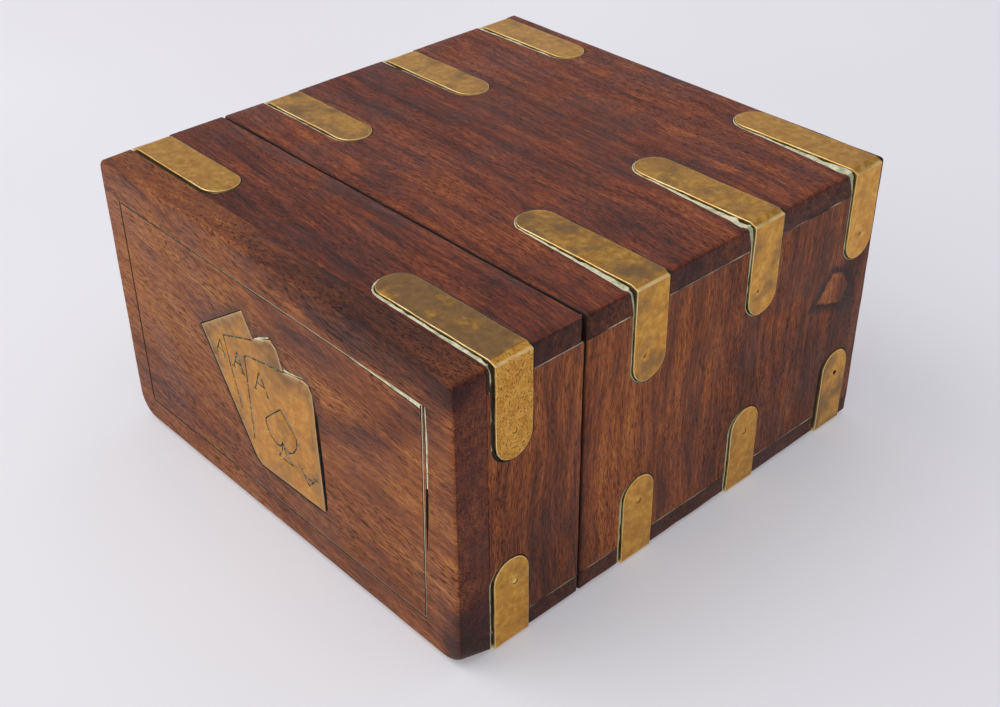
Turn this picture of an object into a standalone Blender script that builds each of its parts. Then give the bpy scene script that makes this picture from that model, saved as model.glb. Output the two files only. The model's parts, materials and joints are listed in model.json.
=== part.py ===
"""Brass-bound hardwood playing-card box: a base with two card wells and a pull-off cap.

Run with: blender --background --python part.py
Metres, +Z up. The box stands on its wide underside with the decorated cap panel facing -Y.
The box rests on the lower legs of its brass straps, which stand a little below its boards.
The origin is on the ground under the box's centre. The cap pulls off along -Y.
"""

import math

import bmesh
import bpy
from mathutils import Vector

# ---- driving dimensions of the case ----
WIDTH = 0.154
HEIGHT = 0.090
FOOT = 0.0008
DEPTH = 0.163
CAP_DEPTH = 0.042
SEAM_GAP = 0.0007
PANEL_THICK = 0.010
TOP_THICK = 0.0072
BOTTOM_THICK = 0.0067
SIDE_THICK = 0.0072
CAP_WALL_RELIEF = 0.0002
GLUE_LINE = 0.0002

# ---- inner lining that forms the lip, and the wells ----
LINER_THICK = 0.0025
LIP_LENGTH = 0.011
DIVIDER_THICK = 0.003
LIP_CHAMFER = 0.0008

# ---- eased edges of the wood ----
LONG_EDGE = 0.0016
GLUE_EDGE = 0.0002
SEAM_EDGE = 0.0006
BACK_EDGE = 0.0012
PANEL_EDGE = 0.0010
PANEL_LOW_EDGE_RISE = 0.0014
PANEL_LOW_EDGE_DEPTH = 0.0020
PANEL_LOW_CORNER = 0.0070
PANEL_TOP_CORNER = 0.0022
PANEL_RING_SHARES = (0.0, 0.01, 0.03, 0.06, 0.1, 0.15, 0.2, 0.6, 1.0)
CORNER_STEPS = 6

# ---- brass corner straps. A row lists its straps' centres, counted back from the front ----
STRAP_WIDTH = 0.012
STRAP_THICK = 0.0010
STRAP_PROUD = 0.0003
STRAP_BEND = 0.0024
BEND_STEPS = 4
STRAP_ROWS = {
    ("top", "right"): (0.0186, 0.0658, 0.1114, 0.1557),
    ("top", "left"): (0.0172, 0.0637, 0.1105, 0.1530),
    ("bottom", "right"): (0.0175, 0.0648, 0.1099, 0.1529),
    ("bottom", "left"): (0.0179, 0.0646, 0.1100, 0.1535),
}
TOP_LEG_RIGHT = 0.0472
TOP_LEG_LEFT = 0.0424
UPPER_SIDE_LEG = 0.0301
LOWER_SIDE_LEG = 0.0286
MORTISE_CLEAR = 0.0003
MORTISE_BED = 0.0002
CUTTER_RISE = 0.003

# ---- pins that nail the side legs down. A shift moves a pin back from its strap's centre ----
PIN_RADIUS = 0.0008
PIN_LENGTH = 0.0055
PIN_TAPER = 0.0015
PIN_POINT = 0.0002
PIN_HOLE_CLEAR = 0.0002
PIN_SIDES = 12
PIN_FROM_TIP = 0.0083
SUNK_PIN = ("base", "bottom_right_3")
SUNK_PIN_DEPTH = 0.0006
PIN_SHIFTS = {
    ("cap", "bottom_right"): 0.0011,
    ("base", "top_right_1"): -0.0022,
    ("base", "top_right_2"): -0.0025,
    ("base", "top_right_3"): -0.0004,
    ("base", "bottom_right_3"): 0.0005,
}

# ---- inlay on the cap panel ----
LINE_WIDTH = 0.0008
LINE_DEPTH = 0.0012
LINE_CLEAR = 0.0002
PLATE_THICK = 0.0010
PLATE_CLEAR = 0.0003
ARC_STEPS = 10

# Outlines on the panel, clockwise. Their points count from the ground under the panel's left side.
# The border line's outer corners start at its lower left: the box's maker let it in a little askew.
LINE_CORNERS = (
    (0.0084, 0.0094),
    (0.0085, 0.0800),
    (0.1432, 0.0794),
    (0.1411, 0.0098),
)
# The three fanned cards start at the rear card's top left.
FAN_OUTLINE = (
    (0.0458, 0.0554),
    (0.0680, 0.0700),
    (0.0722, 0.0628),
    (0.0806, 0.0666),
    (0.0831, 0.0650),
    (0.0852, 0.0588),
    (0.0938, 0.0607),
    (0.0966, 0.0603),
    (0.0978, 0.0580),
    (0.0987, 0.0193),
    (0.0691, 0.0186),
    (0.0668, 0.0201),
)

# ---- planes worked out from the driving dimensions ----
HALF_WIDTH = WIDTH / 2
FRONT = -DEPTH / 2
BACK = DEPTH / 2
PANEL_BACK = FRONT + PANEL_THICK
CAP_MOUTH = FRONT + CAP_DEPTH
BASE_MOUTH = CAP_MOUTH + SEAM_GAP
TOP_INNER = HEIGHT - TOP_THICK
SIDE_INNER = HALF_WIDTH - SIDE_THICK
BACK_INNER = BACK - SIDE_THICK
LOW_INNER = FOOT + BOTTOM_THICK
LIP_FRONT = BASE_MOUTH - LIP_LENGTH


def fresh_scene():
    """Empties the scene and returns the part's collection and the cutters' collection."""
    for old in list(bpy.data.objects):
        bpy.data.objects.remove(old, do_unlink=True)
    made = []
    for name in ("card_box", "cutters"):
        collection = bpy.data.collections.new(name)
        bpy.context.scene.collection.children.link(collection)
        made.append(collection)
    return made


PARTS, CUTTERS = fresh_scene()


# ---- materials ----
def material(name, colour, roughness, metallic=0.0):
    made = bpy.data.materials.new(name)
    made.use_nodes = True
    shader = made.node_tree.nodes["Principled BSDF"]
    shader.inputs["Base Color"].default_value = (*colour, 1.0)
    shader.inputs["Roughness"].default_value = roughness
    shader.inputs["Metallic"].default_value = metallic
    made.diffuse_color = (*colour, 1.0)
    return made


PLANK_WOOD = material("plank_wood", (0.10, 0.035, 0.026), 0.42)
SIDE_WOOD = material("side_wood", (0.17, 0.060, 0.032), 0.45)
PANEL_WOOD = material("panel_wood", (0.23, 0.095, 0.048), 0.45)
LINER_WOOD = material("liner_wood", (0.30, 0.16, 0.085), 0.60)
BRASS = material("brass", (0.60, 0.40, 0.14), 0.32, 1.0)


# ---- shared helpers ----
def empty(name, place):
    made = bpy.data.objects.new(name, None)
    made.location = place
    PARTS.objects.link(made)
    return made


BASE = empty("base_group", (0, 0, 0))
CAP = empty("cap_group", (0, CAP_MOUTH, HEIGHT / 2))
bpy.context.view_layer.update()


def solid_mesh(name, bm):
    """A mesh of the bmesh's closed body, with its faces pointing out."""
    mesh = bpy.data.meshes.new(name)
    bmesh.ops.recalc_face_normals(bm, faces=bm.faces)
    if bm.calc_volume(signed=True) < 0:
        bmesh.ops.reverse_faces(bm, faces=bm.faces)
    bm.to_mesh(mesh)
    bm.free()
    return mesh


def finish_object(name, bm, centre, skin, parent):
    """Turns a bmesh drawn round its own centre into a placed, shaded object."""
    mesh = solid_mesh(name, bm)
    mesh.shade_smooth()
    mesh.set_sharp_from_angle(angle=math.radians(35))
    mesh.materials.append(skin)
    made = bpy.data.objects.new(name, mesh)
    PARTS.objects.link(made)
    made.parent = parent
    made.location = Vector(centre) - parent.location
    return made


def cutter(name, bm):
    """A cutter drawn in world coordinates."""
    made = bpy.data.objects.new(name, solid_mesh(name, bm))
    made.hide_render = True
    made.display_type = "WIRE"
    CUTTERS.objects.link(made)
    return made


def cut(target, *tools):
    for tool in tools:
        step = target.modifiers.new("cut_" + tool.name, "BOOLEAN")
        step.operation = "DIFFERENCE"
        step.object = tool


def box_mesh(low, high, centre=(0, 0, 0)):
    """A cube primitive stretched to two corners and drawn relative to centre."""
    low, high, centre = Vector(low), Vector(high), Vector(centre)
    bm = bmesh.new()
    bmesh.ops.create_cube(bm, size=1.0)
    for vert in bm.verts:
        unit = [c + 0.5 for c in vert.co]
        vert.co = Vector(low[k] + unit[k] * (high[k] - low[k]) for k in range(3)) - centre
    return bm


def prism(outline, low, high, origin=(0, 0, 0)):
    """The x, z outline as a solid from y=low to y=high, drawn relative to origin."""
    bm = bmesh.new()
    bm.faces.new([bm.verts.new(Vector((x, low, z)) - Vector(origin)) for x, z in outline])
    grown = bmesh.ops.extrude_face_region(bm, geom=bm.faces[:])
    moved = [item for item in grown["geom"] if isinstance(item, bmesh.types.BMVert)]
    bmesh.ops.translate(bm, verts=moved, vec=(0, high - low, 0))
    return bm


def on_plane(edge, axis, value):
    return all(abs(vert.co[axis] - value) < 1e-6 for vert in edge.verts)


def ease(bm, picked, radius, segments=3):
    """Rounds the picked edges."""
    bmesh.ops.bevel(
        bm,
        geom=picked,
        offset=radius,
        segments=segments,
        profile=0.5,
        affect="EDGES",
    )


def board(name, low, high, skin, parent, rounds=()):
    """A flat board. Each round is (radius, test), and test(edge, centre) picks its edges."""
    centre = (Vector(low) + Vector(high)) / 2
    bm = box_mesh(low, high, centre)
    for radius, test in rounds:
        ease(bm, [edge for edge in bm.edges if test(edge, centre)], radius)
    return finish_object(name, bm, centre, skin, parent)


def plane_test(*planes):
    """Picks the edges that lie on every plane given as (axis, value)."""

    def test(edge, centre):
        return all(on_plane(edge, axis, value - centre[axis]) for axis, value in planes)

    return test


def outer_rim(y_plane, inner_axis, inner_value):
    """Picks the edges of a board's end at y_plane, apart from the one on its inner face."""

    def test(edge, centre):
        on_end = on_plane(edge, 1, y_plane - centre[1])
        return on_end and not on_plane(edge, inner_axis, inner_value - centre[inner_axis])

    return test


# ---- boards of one section of the case, cap or base ----
def section_boards(prefix, parent, start, end, relief, start_edge, end_edge):
    """Top, bottom, left and right boards from y=start to y=end.

    Relief widens the inside. Start_edge and end_edge round the outer rim of the two ends.
    """
    top_inner = TOP_INNER + relief
    low_inner = LOW_INNER - relief
    side_inner = SIDE_INNER + relief
    made = {}
    for side, z_low, z_high, outer in (
        ("top", top_inner, HEIGHT, HEIGHT),
        ("bottom", FOOT, low_inner, FOOT),
    ):
        inner = z_low if side == "top" else z_high
        made[side] = board(
            f"{prefix}_{side}_board",
            (-HALF_WIDTH, start, z_low),
            (HALF_WIDTH, end, z_high),
            PLANK_WOOD,
            parent,
            (
                (LONG_EDGE, plane_test((2, outer), (0, HALF_WIDTH))),
                (LONG_EDGE, plane_test((2, outer), (0, -HALF_WIDTH))),
                (start_edge, outer_rim(start, 2, inner)),
                (end_edge, outer_rim(end, 2, inner)),
            ),
        )
    for side, way in (("left", -1), ("right", 1)):
        x_inner, x_outer = way * side_inner, way * HALF_WIDTH
        made[side] = board(
            f"{prefix}_{side}_board",
            (min(x_inner, x_outer), start, low_inner + GLUE_LINE),
            (max(x_inner, x_outer), end, top_inner - GLUE_LINE),
            SIDE_WOOD,
            parent,
            (
                (start_edge, plane_test((0, x_outer), (1, start))),
                (end_edge, plane_test((0, x_outer), (1, end))),
            ),
        )
    return made


CAP_START = PANEL_BACK + GLUE_LINE
CAP_BOARDS = section_boards(
    "cap", CAP, CAP_START, CAP_MOUTH, CAP_WALL_RELIEF, GLUE_EDGE, SEAM_EDGE
)
BASE_BOARDS = section_boards("base", BASE, BASE_MOUTH, BACK, 0.0, SEAM_EDGE, BACK_EDGE)


# ---- back panel, let in between the four base boards ----
board(
    "back_panel",
    (-SIDE_INNER + GLUE_LINE, BACK_INNER, LOW_INNER + GLUE_LINE),
    (SIDE_INNER - GLUE_LINE, BACK, TOP_INNER - GLUE_LINE),
    PLANK_WOOD,
    BASE,
    ((GLUE_EDGE, plane_test((1, BACK))),),
)


# ---- lining boards: they form the wells' walls and stand out of the mouth as a lip ----
def lining():
    x_outer = SIDE_INNER - GLUE_LINE
    z_low = LOW_INNER + GLUE_LINE
    z_high = TOP_INNER - GLUE_LINE
    y_end = BACK_INNER - GLUE_LINE
    inside_low = z_low + LINER_THICK + GLUE_LINE
    inside_high = z_high - LINER_THICK - GLUE_LINE
    for side, low, high, outer in (
        ("top", z_high - LINER_THICK, z_high, z_high),
        ("bottom", z_low, z_low + LINER_THICK, z_low),
    ):
        board(
            f"liner_{side}",
            (-x_outer, LIP_FRONT, low),
            (x_outer, y_end, high),
            LINER_WOOD,
            BASE,
            ((LIP_CHAMFER, plane_test((1, LIP_FRONT), (2, outer))),),
        )
    for side, way in (("left", -1), ("right", 1)):
        x_a, x_b = way * x_outer, way * (x_outer - LINER_THICK)
        board(
            f"liner_{side}",
            (min(x_a, x_b), LIP_FRONT, inside_low),
            (max(x_a, x_b), y_end, inside_high),
            LINER_WOOD,
            BASE,
            ((LIP_CHAMFER, plane_test((1, LIP_FRONT), (0, x_a))),),
        )
    board(
        "well_divider",
        (-DIVIDER_THICK / 2, LIP_FRONT, inside_low),
        (DIVIDER_THICK / 2, y_end, inside_high),
        LINER_WOOD,
        BASE,
        (
            (LIP_CHAMFER, plane_test((1, LIP_FRONT), (0, DIVIDER_THICK / 2))),
            (LIP_CHAMFER, plane_test((1, LIP_FRONT), (0, -DIVIDER_THICK / 2))),
        ),
    )


lining()


# ---- cap panel: its front edges are rounded over, its underside most ----
def rounded_rectangle(low, high, radii):
    """Points round a rectangle in x and z, whose corners have the radii (lower, upper)."""
    points = []
    corners = (
        (high[0], low[1], -1, 1, radii[0], -math.pi / 2),
        (high[0], high[1], -1, -1, radii[1], 0.0),
        (low[0], high[1], 1, -1, radii[1], math.pi / 2),
        (low[0], low[1], 1, 1, radii[0], math.pi),
    )
    for x, z, x_in, z_in, radius, start in corners:
        for step in range(CORNER_STEPS + 1):
            angle = start + math.pi / 2 * step / CORNER_STEPS
            points.append((
                x + radius * (x_in + math.cos(angle)),
                z + radius * (z_in + math.sin(angle)),
            ))
    return points


def quarter_drop(depth, rise, length):
    """How far a quarter ellipse, rise high and length deep, still lies inside the full outline."""
    if depth >= length:
        return 0.0
    return rise * (1 - math.sqrt(1 - (1 - depth / length) ** 2))


def cap_panel():
    centre = Vector((0, (FRONT + PANEL_BACK) / 2, HEIGHT / 2))
    bm = bmesh.new()
    rings = []
    for share in PANEL_RING_SHARES:
        depth = share * PANEL_THICK
        side = quarter_drop(depth, PANEL_EDGE, PANEL_EDGE)
        lift = quarter_drop(depth, PANEL_LOW_EDGE_RISE, PANEL_LOW_EDGE_DEPTH)
        low_corner = PANEL_LOW_CORNER + (LONG_EDGE - PANEL_LOW_CORNER) * share
        top_corner = PANEL_TOP_CORNER + (LONG_EDGE - PANEL_TOP_CORNER) * share
        outline = rounded_rectangle(
            (-HALF_WIDTH + side, FOOT + lift),
            (HALF_WIDTH - side, HEIGHT - side),
            (low_corner, top_corner),
        )
        rings.append([bm.verts.new(Vector((x, FRONT + depth, z)) - centre) for x, z in outline])
    bm.faces.new(rings[0])
    bm.faces.new(rings[-1])
    count = len(rings[0])
    for near, far in zip(rings, rings[1:]):
        for i in range(count):
            j = (i + 1) % count
            bm.faces.new((near[i], near[j], far[j], far[i]))
    return finish_object("cap_front_panel", bm, centre, PANEL_WOOD, CAP)


PANEL = cap_panel()


# ---- brass straps ----
def slot_outline(length, width):
    """A strip with half-round ends, from s=0 to s=length, centred on y=0."""
    radius = width / 2
    points = []
    for centre_s, start in ((length - radius, -math.pi / 2), (radius, math.pi / 2)):
        for step in range(ARC_STEPS + 1):
            angle = start + math.pi * step / ARC_STEPS
            points.append((centre_s + radius * math.cos(angle), radius * math.sin(angle)))
    return points


def bent_strip(flat_leg, side_leg, width, rise, sink, corner, centre_y, x_way, z_way, origin):
    """A strip bent over a case edge.

    Corner is the (x, z) where the strap's two outer faces would meet. The strip runs flat_leg in
    from it along the case's top or underside, and side_leg along the case's side. Rise and sink are
    how far its faces lie outside and inside the strap's outer face.
    """
    bend_length = STRAP_BEND * math.pi / 2
    flat_run = flat_leg - STRAP_BEND
    side_run = side_leg - STRAP_BEND
    bm = bmesh.new()
    outline = slot_outline(flat_run + bend_length + side_run, width)
    bm.faces.new([bm.verts.new((s, y, -rise)) for s, y in outline])
    grown = bmesh.ops.extrude_face_region(bm, geom=bm.faces[:])
    moved = [item for item in grown["geom"] if isinstance(item, bmesh.types.BMVert)]
    bmesh.ops.translate(bm, verts=moved, vec=(0, 0, rise + sink))
    for step in range(BEND_STEPS + 1):
        bmesh.ops.bisect_plane(
            bm,
            geom=bm.verts[:] + bm.edges[:] + bm.faces[:],
            plane_co=(flat_run + bend_length * step / BEND_STEPS, 0, 0),
            plane_no=(1, 0, 0),
        )
    for vert in bm.verts:
        s, y, inward = vert.co
        angle = min(max((s - flat_run) / STRAP_BEND, 0.0), math.pi / 2)
        radius = STRAP_BEND - inward
        before = min(s - flat_run, 0.0)
        after = max(s - flat_run - bend_length, 0.0)
        x_out = before - STRAP_BEND + radius * math.sin(angle)
        z_out = -STRAP_BEND + radius * math.cos(angle) - after
        place = Vector((corner[0] + x_way * x_out, centre_y + y, corner[1] + z_way * z_out))
        vert.co = place - Vector(origin)
    return bm


def pin_solid(x_way, head, radius, length, taper, origin):
    """A round pin along X that points into the case from its head, tapered to a point if asked."""
    bm = bmesh.new()
    stretches = [(0.0, length - taper, radius)]
    if taper > 0:
        stretches.append((length - taper, taper, PIN_POINT))
    for start, depth, end_radius in stretches:
        made = bmesh.ops.create_cone(
            bm,
            cap_ends=False,
            segments=PIN_SIDES,
            radius1=radius,
            radius2=end_radius,
            depth=depth,
        )
        bmesh.ops.translate(bm, verts=made["verts"], vec=(0, 0, start + depth / 2))
    bmesh.ops.remove_doubles(bm, verts=bm.verts, dist=1e-7)
    bmesh.ops.holes_fill(bm, edges=bm.edges, sides=0)
    for vert in bm.verts:
        across, up, inward = vert.co
        place = Vector((head[0] - x_way * inward, head[1] + across, head[2] + up))
        vert.co = place - Vector(origin)
    return bm


def strap_spots():
    """Each strap's section, directions, name ending, centre in y and leg lengths."""
    for (z_name, x_name), row in STRAP_ROWS.items():
        z_way = 1 if z_name == "top" else -1
        x_way = 1 if x_name == "right" else -1
        flat_leg = TOP_LEG_RIGHT if x_way > 0 else TOP_LEG_LEFT
        side_leg = UPPER_SIDE_LEG if z_way > 0 else LOWER_SIDE_LEG
        for number, from_front in enumerate(row):
            group = "cap" if number == 0 else "base"
            tail = f"{z_name}_{x_name}" if number == 0 else f"{z_name}_{x_name}_{number}"
            yield group, tail, FRONT + from_front, x_way, z_way, flat_leg, side_leg


def straps():
    side_face = HALF_WIDTH + STRAP_PROUD
    for group, tail, y, x_way, z_way, flat_leg, side_leg in strap_spots():
        boards = CAP_BOARDS if group == "cap" else BASE_BOARDS
        parent = CAP if group == "cap" else BASE
        z_name, x_name = tail.split("_")[:2]
        z_face = HEIGHT + STRAP_PROUD if z_way > 0 else 0.0
        corner = (x_way * side_face, z_face)
        origin = (corner[0], y, corner[1])
        strip = bent_strip(
            flat_leg, side_leg, STRAP_WIDTH, 0.0, STRAP_THICK, corner, y, x_way, z_way, origin
        )
        strap = finish_object(f"{group}_strap_{tail}", strip, origin, BRASS, parent)
        bed = bent_strip(
            flat_leg + MORTISE_CLEAR,
            side_leg + MORTISE_CLEAR,
            STRAP_WIDTH + 2 * MORTISE_CLEAR,
            CUTTER_RISE,
            STRAP_THICK + MORTISE_BED,
            corner,
            y,
            x_way,
            z_way,
            (0, 0, 0),
        )
        mortise = cutter(f"mortise_{group}_{tail}", bed)

        pin_y = y + PIN_SHIFTS.get((group, tail), 0.0)
        pin_z = z_face - z_way * (side_leg - PIN_FROM_TIP)
        sunk = SUNK_PIN_DEPTH if (group, tail) == SUNK_PIN else 0.0
        head = (x_way * (side_face - sunk), pin_y, pin_z)
        pin = pin_solid(x_way, head, PIN_RADIUS, PIN_LENGTH - sunk, PIN_TAPER, head)
        finish_object(f"{group}_pin_{tail}", pin, head, BRASS, parent)
        mouth = (x_way * (side_face + CUTTER_RISE), pin_y, pin_z)
        bore_length = PIN_LENGTH + CUTTER_RISE + PIN_HOLE_CLEAR
        hole = pin_solid(x_way, mouth, PIN_RADIUS + PIN_HOLE_CLEAR, bore_length, 0.0, (0, 0, 0))
        bore = cutter(f"bore_{group}_{tail}", hole)

        cut(strap, bore)
        cut(boards[z_name], mortise)
        cut(boards[x_name], mortise, bore)


straps()


# ---- outlines on the cap panel ----
def grown_outline(outline, grow):
    """A clockwise outline on the panel, moved outwards by grow, corner by corner."""
    count = len(outline)
    moved = []
    for i in range(count):
        before = Vector(outline[i - 1])
        here = Vector(outline[i])
        after = Vector(outline[(i + 1) % count])
        first, second = (here - before).normalized(), (after - here).normalized()
        out_a, out_b = Vector((-first.y, first.x)), Vector((-second.y, second.x))
        half = (out_a + out_b) / (1 + out_a.dot(out_b))
        moved.append(here + half * grow - Vector((HALF_WIDTH, 0)))
    return moved


# ---- brass line round the cap panel ----
def border():
    """Four mitred strips in a groove that runs all the way round."""
    outer = grown_outline(LINE_CORNERS, 0.0)
    inner = grown_outline(LINE_CORNERS, -LINE_WIDTH)
    groove_outer = grown_outline(LINE_CORNERS, LINE_CLEAR)
    groove_inner = grown_outline(LINE_CORNERS, -LINE_WIDTH - LINE_CLEAR)
    line_back = FRONT + LINE_DEPTH
    for i, side in enumerate(("left", "top", "right", "bottom")):
        j = (i + 1) % 4
        along = (outer[j] - outer[i]).normalized() * LINE_CLEAR
        outline = (outer[i] + along, outer[j] - along, inner[j] - along, inner[i] + along)
        middle = sum(outline, Vector((0, 0))) / 4
        centre = (middle.x, FRONT + LINE_DEPTH / 2, middle.y)
        strip = prism(outline, FRONT, line_back, centre)
        finish_object(f"border_line_{side}", strip, centre, BRASS, CAP)

        outline = (groove_outer[i], groove_outer[j], groove_inner[j], groove_inner[i])
        groove = prism(outline, FRONT - CUTTER_RISE, line_back + LINE_CLEAR)
        cut(PANEL, cutter(f"groove_{side}", groove))


border()


# ---- brass plate of three fanned cards ----
def fan_plate():
    centre = (0.0, FRONT + PLATE_THICK / 2, HEIGHT / 2)
    plate = prism(grown_outline(FAN_OUTLINE, 0.0), FRONT, FRONT + PLATE_THICK, centre)
    finish_object("card_fan_plate", plate, centre, BRASS, CAP)
    pocket_floor = FRONT + PLATE_THICK + MORTISE_BED
    pocket = prism(grown_outline(FAN_OUTLINE, PLATE_CLEAR), FRONT - CUTTER_RISE, pocket_floor)
    cut(PANEL, cutter("fan_pocket", pocket))


fan_plate()
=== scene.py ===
"""Looks of the brass-bound playing-card box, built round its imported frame.

Metres, +Z up, in the frame's own space: the box stands on z=0, its decorated cap panel faces -Y and
the cap pulls off along -Y. Sizes are written in millimetres times MM.
"""

import json
import math
from collections import namedtuple

import bmesh
import bpy
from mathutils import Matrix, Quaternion, Vector, noise


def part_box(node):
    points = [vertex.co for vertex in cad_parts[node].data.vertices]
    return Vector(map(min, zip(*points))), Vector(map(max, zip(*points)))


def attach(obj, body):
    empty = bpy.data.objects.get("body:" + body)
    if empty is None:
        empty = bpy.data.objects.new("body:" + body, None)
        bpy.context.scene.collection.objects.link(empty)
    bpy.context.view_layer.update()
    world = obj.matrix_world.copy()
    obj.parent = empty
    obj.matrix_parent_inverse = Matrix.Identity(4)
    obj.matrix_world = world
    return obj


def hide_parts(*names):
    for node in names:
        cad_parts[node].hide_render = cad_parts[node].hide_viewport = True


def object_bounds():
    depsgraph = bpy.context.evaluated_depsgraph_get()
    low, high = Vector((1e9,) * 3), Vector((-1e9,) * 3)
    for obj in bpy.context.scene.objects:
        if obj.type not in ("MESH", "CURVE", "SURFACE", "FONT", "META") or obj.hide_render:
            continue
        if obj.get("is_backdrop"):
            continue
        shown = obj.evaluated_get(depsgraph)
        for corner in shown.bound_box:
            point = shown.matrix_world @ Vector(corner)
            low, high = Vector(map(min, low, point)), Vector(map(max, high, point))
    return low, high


MM = 0.001

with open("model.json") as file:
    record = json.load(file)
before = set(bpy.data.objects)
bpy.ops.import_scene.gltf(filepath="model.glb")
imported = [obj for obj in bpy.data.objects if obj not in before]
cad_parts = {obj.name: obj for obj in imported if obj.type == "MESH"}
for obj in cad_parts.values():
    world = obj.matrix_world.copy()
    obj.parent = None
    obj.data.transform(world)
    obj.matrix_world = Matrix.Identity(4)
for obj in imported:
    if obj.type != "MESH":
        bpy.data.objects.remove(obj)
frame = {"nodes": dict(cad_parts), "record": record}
CAD_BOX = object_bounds()
BODY_OF = {
    node: body for body, nodes in frame["record"]["behaviour"]["bodies"].items() for node in nodes
}

# ---- camera ----
CAMERA_PLACE = Vector((0.2702, -0.2439, 0.2709))
CAMERA_AZIMUTH = math.radians(47.55)
CAMERA_ELEVATION = math.radians(34.30)
CAMERA_ROLL = math.radians(-0.51)
CAMERA_LENS = 50.9
CAMERA_SENSOR = 36.0

# ---- light ----
KEY_PLACE = Vector((-0.75, -0.95, 1.25))
KEY_SIZE = 1.7
KEY_POWER = 15.0
KEY_COLOUR = (1.0, 0.985, 0.96)
# The sky's colour by the sine of the elevation: a pale backdrop, then a dim wall and a pale ceiling.
SKY_STOPS = (
    (-1.00, (0.66, 0.66, 0.69)),
    (0.00, (0.74, 0.75, 0.79)),
    (0.40, (0.74, 0.76, 0.81)),
    (0.53, (0.24, 0.24, 0.26)),
    (0.72, (0.26, 0.26, 0.28)),
    (0.81, (0.92, 0.94, 1.00)),
)
FLOOR_HALF = 4.0
FLOOR_LEVEL = -0.05 * MM
FLOOR_GLOW = 0.24

# ---- wooden boards ----
GRID_STEP = 5.0 * MM
EDGE_SEGMENTS = 4
LONG_EDGE = 1.1 * MM
SEAM_EDGE = 0.6 * MM
# How far the painted shade along the seam reaches into each board.
SEAM_SHADE = 0.5 * MM
BACK_EDGE = 0.6 * MM
GLUE_EDGE = 0.2 * MM
LINER_EDGE = 0.4 * MM
LIP_CHAMFER = 0.8 * MM
CAP_CORNER = 2.3 * MM
WAVINESS = 0.09 * MM
NIBBLE = 0.35 * MM

# ---- brass corner straps ----
STRAP_THICK = 1.0 * MM
STRAP_WANDER = 0.20 * MM
STRAP_DENT = 0.10 * MM
STRAP_PROUD = 0.3 * MM
STRAP_BEND = 2.4 * MM
STRAP_STATION = 2.2 * MM
BEND_STEPS = 9
CREASE_STEP = 6
FOOT = 0.8 * MM
ARC_STEPS = 11
STRAP_EDGE = 0.24 * MM
STRAP_SHARP = 20.0
# How far the innermost outline on a strap stays from the strap's middle line.
MIDDLE_GAP = 0.1 * MM
MORTISE_EASE = 0.22 * MM
MORTISE_FLARE = 0.18 * MM
MORTISE_BED = 0.12 * MM
CUTTER_RISE = 2.5 * MM

# ---- pins ----
PIN_RADIUS = 0.8 * MM
PIN_CLEAR = 0.07 * MM
PIN_SIDES = 20
PIN_LENGTH = 5.5 * MM
SUNK_PIN = "base_pin_bottom_right_3"
PIN_SUNK = 0.75 * MM


def clamp(value, low=0.0, high=1.0):
    return min(max(value, low), high)


# ---- material helper ----
def set_ramp(ramp_node, stops):
    """Gives a colour ramp its stops, which are (place on the ramp, colour)."""
    elements = ramp_node.color_ramp.elements
    elements.remove(elements[1])
    (position, colour), *rest = stops
    elements[0].position = position
    elements[0].color = (*colour, 1.0)
    for position, colour in rest:
        elements.new(position).color = (*colour, 1.0)


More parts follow.
